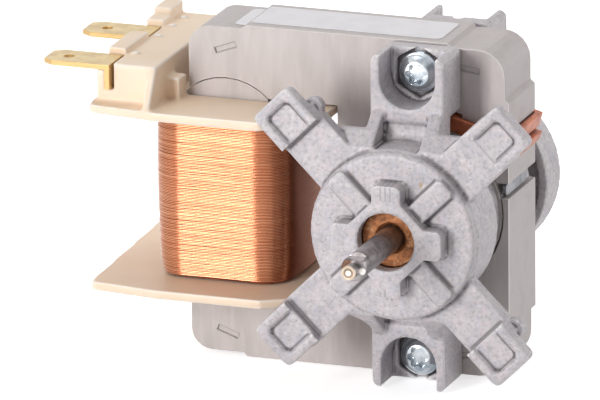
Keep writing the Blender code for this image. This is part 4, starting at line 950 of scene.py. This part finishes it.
class MOTOR_OT_screws(bpy.types.Operator):
    """The two plated screws with star recesses, and their nuts"""
    bl_idname = "motor.screws"
    bl_label = "Screws and nuts"

    height: length_setting("Head height", "From the crown to the head's underside", 0.0022)
    lobes: count_setting("Lobes", "Points of the star recess", 3, 6)
    recess: length_setting("Recess depth", "How deep the star is sunk", 0.00095)
    pitch: length_setting("Thread pitch", "Rise of the thread in one turn", 0.0005)

    def execute(self, context):
        colours = context.scene.motor_colours
        zinc = metal_finish("bright_zinc", colours.zinc, seen(146, 156, 166), 0.9, 0.22, 0.0005)
        for side in ("upper", "lower"):
            low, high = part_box(f"{side}_screw")
            centre = ((low.x + high.x) / 2, (low.z + high.z) / 2)
            head = self.head(f"{side}_screw_head", low.y, centre)
            shank = self.shank(f"{side}_screw_shank", low.y + self.height, high.y, centre)
            nut = edged(f"{side}_nut_plated", f"{side}_nut", 0.00015)
            for piece, node in ((head, "screw"), (shank, "screw"), (nut, "nut")):
                dressed(piece, zinc, "stator", "zinc_plate", f"{side}_{node}")
        return {"FINISHED"}

    def head(self, name, crown, centre):
        """Depth under the crown over (r, a): a dome by the square of r, then a shoulder, a skirt
        and a rounded edge that each begin at their own radius. Inside the star, whose radius is a
        raised cosine of the angle, lies a recess with a steep smooth wall."""
        radius = np.concatenate((np.linspace(0.0, 0.0021, 43), np.linspace(0.00215, 0.0033, 24)))
        star_root, star_reach, wall = 0.00128, 0.00052, 0.00016
        r = radius[:, None]
        a = round_angles(144)
        dome = 0.00016 * (r / 0.002) ** 2
        shoulder = 0.00075 * np.clip((r - 0.0019) / 0.0009, 0.0, 1.0) ** 1.6
        skirt = 0.00022 * eased((r - 0.00285) / 0.00012)
        edge = 0.00022 * np.clip((r - 0.00312) / 0.00018, 0.0, 1.0) ** 2
        star = star_root + star_reach * (0.5 + 0.5 * np.cos(self.lobes * a)) ** 0.8
        depth = dome + shoulder + skirt + edge + self.recess * eased((star - r) / wall)
        underside = np.full((2, len(a)), self.height)
        y = crown + np.concatenate((depth, underside))
        r = np.append(radius, (radius[-1], 0.0))[:, None]
        return tidied(surface(name, around(r, y, a, centre), closed=True), 50.0)

    def shank(self, name, near, far, centre):
        """A thread: the radius falls in a triangle wave of the distance along the axis less the
        turn's share of the pitch, and the last stretch narrows to a blunt point."""
        radius, thread_depth, point, point_share = 0.0015, 0.00026, 0.0006, 0.72
        rows = int((far - near) / self.pitch * 8)
        y = np.linspace(near, far, rows)[:, None]
        a = round_angles(24)
        wave = np.abs(np.mod(y / self.pitch - a / TURN, 1.0) - 0.5) * 2.0
        full = np.clip((far - y) / point, 0.0, 1.0)
        r = (radius - thread_depth * wave) * (point_share + (1.0 - point_share) * full)
        both_ends = ((1, 1), (0, 0))
        points = around(np.pad(r, both_ends), np.pad(y, both_ends, mode="edge"), a, centre)
        return tidied(surface(name, points, closed=True), 60.0)


class MOTOR_OT_rings(bpy.types.Operator):
    """The copper shading rings on the pole tips"""
    bl_idname = "motor.rings"
    bl_label = "Shading rings"

    def execute(self, context):
        colours = context.scene.motor_colours
        sizes = context.scene.motor_sizes
        copper = metal_finish("bare_copper", colours.copper, seen(150, 80, 52), 0.5, 0.38, 0.0004)
        for ring in ("main", "tip"):
            for side in ("upper", "lower"):
                node = f"shading_ring_{ring}_{side}"
                piece = softened(f"{node}_copper", node, sizes.ring_grain, sizes.ring_rounds)
                dressed(piece, copper, "stator", "copper", node)
        return {"FINISHED"}


# Stage

def shown_white(tree, lit, shown):
    """Mixes what lights the object with what the camera, gloss and glass see."""
    path = tree.nodes.new("ShaderNodeLightPath")
    seen_by = path.outputs["Is Camera Ray"]
    for ray in ("Is Glossy Ray", "Is Transmission Ray"):
        either = tree.nodes.new("ShaderNodeMath")
        either.operation = "MAXIMUM"
        tree.links.new(seen_by, either.inputs[0])
        tree.links.new(path.outputs[ray], either.inputs[1])
        seen_by = either.outputs[0]
    mix = tree.nodes.new("ShaderNodeMixShader")
    tree.links.new(seen_by, mix.inputs[0])
    tree.links.new(lit, mix.inputs[1])
    tree.links.new(shown, mix.inputs[2])
    return mix.outputs[0]


class MOTOR_OT_stage(bpy.types.Operator):
    """The pale floor, the soft lights, the even sky and the camera"""
    bl_idname = "motor.stage"
    bl_label = "Stage"

    look_at: FloatVectorProperty(name="Looked at", subtype="TRANSLATION", size=3,
                                 description="Middle of the view, measured from the stack's face",
                                 default=(-0.02332, 0.0065, -0.00259))

    def execute(self, context):
        stage = context.scene.motor_stage
        target = Vector(self.look_at) + Vector((0.0, FACE_Y, 0.0))
        self.camera(context.scene, stage, target)
        self.floor(stage)
        self.sky(context.scene, stage)
        self.lamp("strip_softbox", (-0.167, -0.338, 0.083), target, (0.10, 0.20), stage.strip)
        self.lamp("wide_softbox", (-0.75, -0.55, 0.40), target, (0.8, 0.6), stage.key)
        self.lamp("upper_softbox", (-0.25, 0.40, 0.90), target, (1.1, 1.1), stage.top)
        self.lamp("side_softbox", (0.75, 0.65, 0.35), target, (0.7, 0.7), stage.side)
        context.scene.view_settings.view_transform = "Standard"
        return {"FINISHED"}

    @staticmethod
    def camera(scene, stage, target):
        az, el = stage.azimuth, stage.elevation
        back = Vector((math.sin(az) * math.cos(el), -math.cos(az) * math.cos(el), math.sin(el)))
        right = Vector((math.cos(az), math.sin(az), 0.0))
        up = back.cross(right)
        turn = Matrix.Rotation(stage.roll, 3, back)
        pose = Matrix((turn @ right, turn @ up, back)).transposed().to_4x4()
        pose.translation = target + back * stage.distance
        lens = bpy.data.cameras.new("photo_camera")
        lens.sensor_width = 36.0
        lens.lens = stage.lens
        lens.clip_start = 0.05
        lens.clip_end = 60.0
        scene.camera = placed("photo_camera", lens)
        scene.camera.matrix_world = pose

    @staticmethod
    def floor(stage):
        """A flat square of six metres just under the motor: even steps in x and y at one level.
        Only the camera, gloss and glass see it glow, which leaves the motor's shadow on white."""
        level = CAD_BOX[0][2] - 0.0002
        side = np.linspace(-3.0, 3.0, 13)
        x, y = np.meshgrid(side, side, indexing="xy")
        floor = surface("pale_floor", np.stack((x, y, np.full_like(x, level)), axis=-1))
        pale = Finish("pale_floor", 0.0, 0.9)
        grain = pale.noise(0.4)
        pale.wear(Base_Color=pale.between(grain, seen(240, 240, 241), seen(236, 236, 237)))
        matte = Signal(pale, pale.shader.outputs[0])
        glow = pale.node("ShaderNodeEmission", {}, {"Strength": stage.glow})
        both = pale.node("ShaderNodeAddShader", {}, {0: matte, 1: glow})
        shown = shown_white(pale.tree, matte.socket, both.socket)
        pale.tree.links.new(shown, pale.tree.nodes["Material Output"].inputs["Surface"])
        floor.data.materials.append(pale.material)

    @staticmethod
    def sky(scene, stage):
        sky = bpy.data.worlds.new("even_sky")
        sky.use_nodes = True
        tree = sky.node_tree
        lit = tree.nodes["Background"]
        shown = tree.nodes.new("ShaderNodeBackground")
        for light, strength in ((lit, stage.sky), (shown, 1.0)):
            light.inputs["Color"].default_value = (1.0, 1.0, 1.0, 1.0)
            light.inputs["Strength"].default_value = strength
        mixed = shown_white(tree, lit.outputs[0], shown.outputs[0])
        tree.links.new(mixed, tree.nodes["World Output"].inputs["Surface"])
        scene.world = sky

    @staticmethod
    def lamp(name, place, target, size, brightness):
        """A soft light that faces the target. Its power is brightness times area times pi."""
        light = bpy.data.lights.new(name, "AREA")
        light.shape = "RECTANGLE"
        light.size, light.size_y = size
        light.energy = brightness * size[0] * size[1] * math.pi
        back = (Vector(place) - target).normalized()
        turn = back.to_track_quat("Z", "Y").to_matrix().to_4x4()
        placed(name, light).matrix_world = Matrix.Translation(place) @ turn


class MOTOR_PT_looks(bpy.types.Panel):
    """Lists the motor's pieces and its stage"""
    bl_idname = "MOTOR_PT_looks"
    bl_label = "Oven fan motor"
    bl_space_type = "VIEW_3D"
    bl_region_type = "UI"
    bl_category = "Motor"

    def draw(self, context):
        column = self.layout.column(align=True)
        for operator in OPERATORS:
            column.operator(operator.bl_idname)
        for key, group in GROUPS.items():
            box = self.layout.box()
            for name in group.__annotations__:
                box.prop(getattr(context.scene, key), name)


GROUPS = {"motor_colours": MotorColours, "motor_sizes": MotorSizes, "motor_stage": MotorStage}
OPERATORS = (MOTOR_OT_castings, MOTOR_OT_stack, MOTOR_OT_bobbin, MOTOR_OT_winding,
             MOTOR_OT_terminals, MOTOR_OT_label, MOTOR_OT_shaft, MOTOR_OT_bearings,
             MOTOR_OT_screws, MOTOR_OT_rings, MOTOR_OT_stage)


CLASSES = (*GROUPS.values(), *OPERATORS, MOTOR_PT_looks)


def register():
    for entry in CLASSES:
        bpy.utils.register_class(entry)
    for key, group in GROUPS.items():
        setattr(bpy.types.Scene, key, PointerProperty(type=group))


def unregister():
    for key in GROUPS:
        delattr(bpy.types.Scene, key)
    for entry in reversed(CLASSES):
        bpy.utils.unregister_class(entry)


def corners(box):
    return [[float(value) for value in corner] for corner in box]


def main():
    register()
    bpy.ops.motor.castings()
    bpy.ops.motor.stack()
    bpy.ops.motor.bobbin()
    bpy.ops.motor.winding()
    bpy.ops.motor.terminals()
    bpy.ops.motor.label()
    bpy.ops.motor.shaft()
    bpy.ops.motor.bearings()
    bpy.ops.motor.screws()
    bpy.ops.motor.rings()
    bpy.ops.motor.stage()


if __name__ == "__main__":
    main()
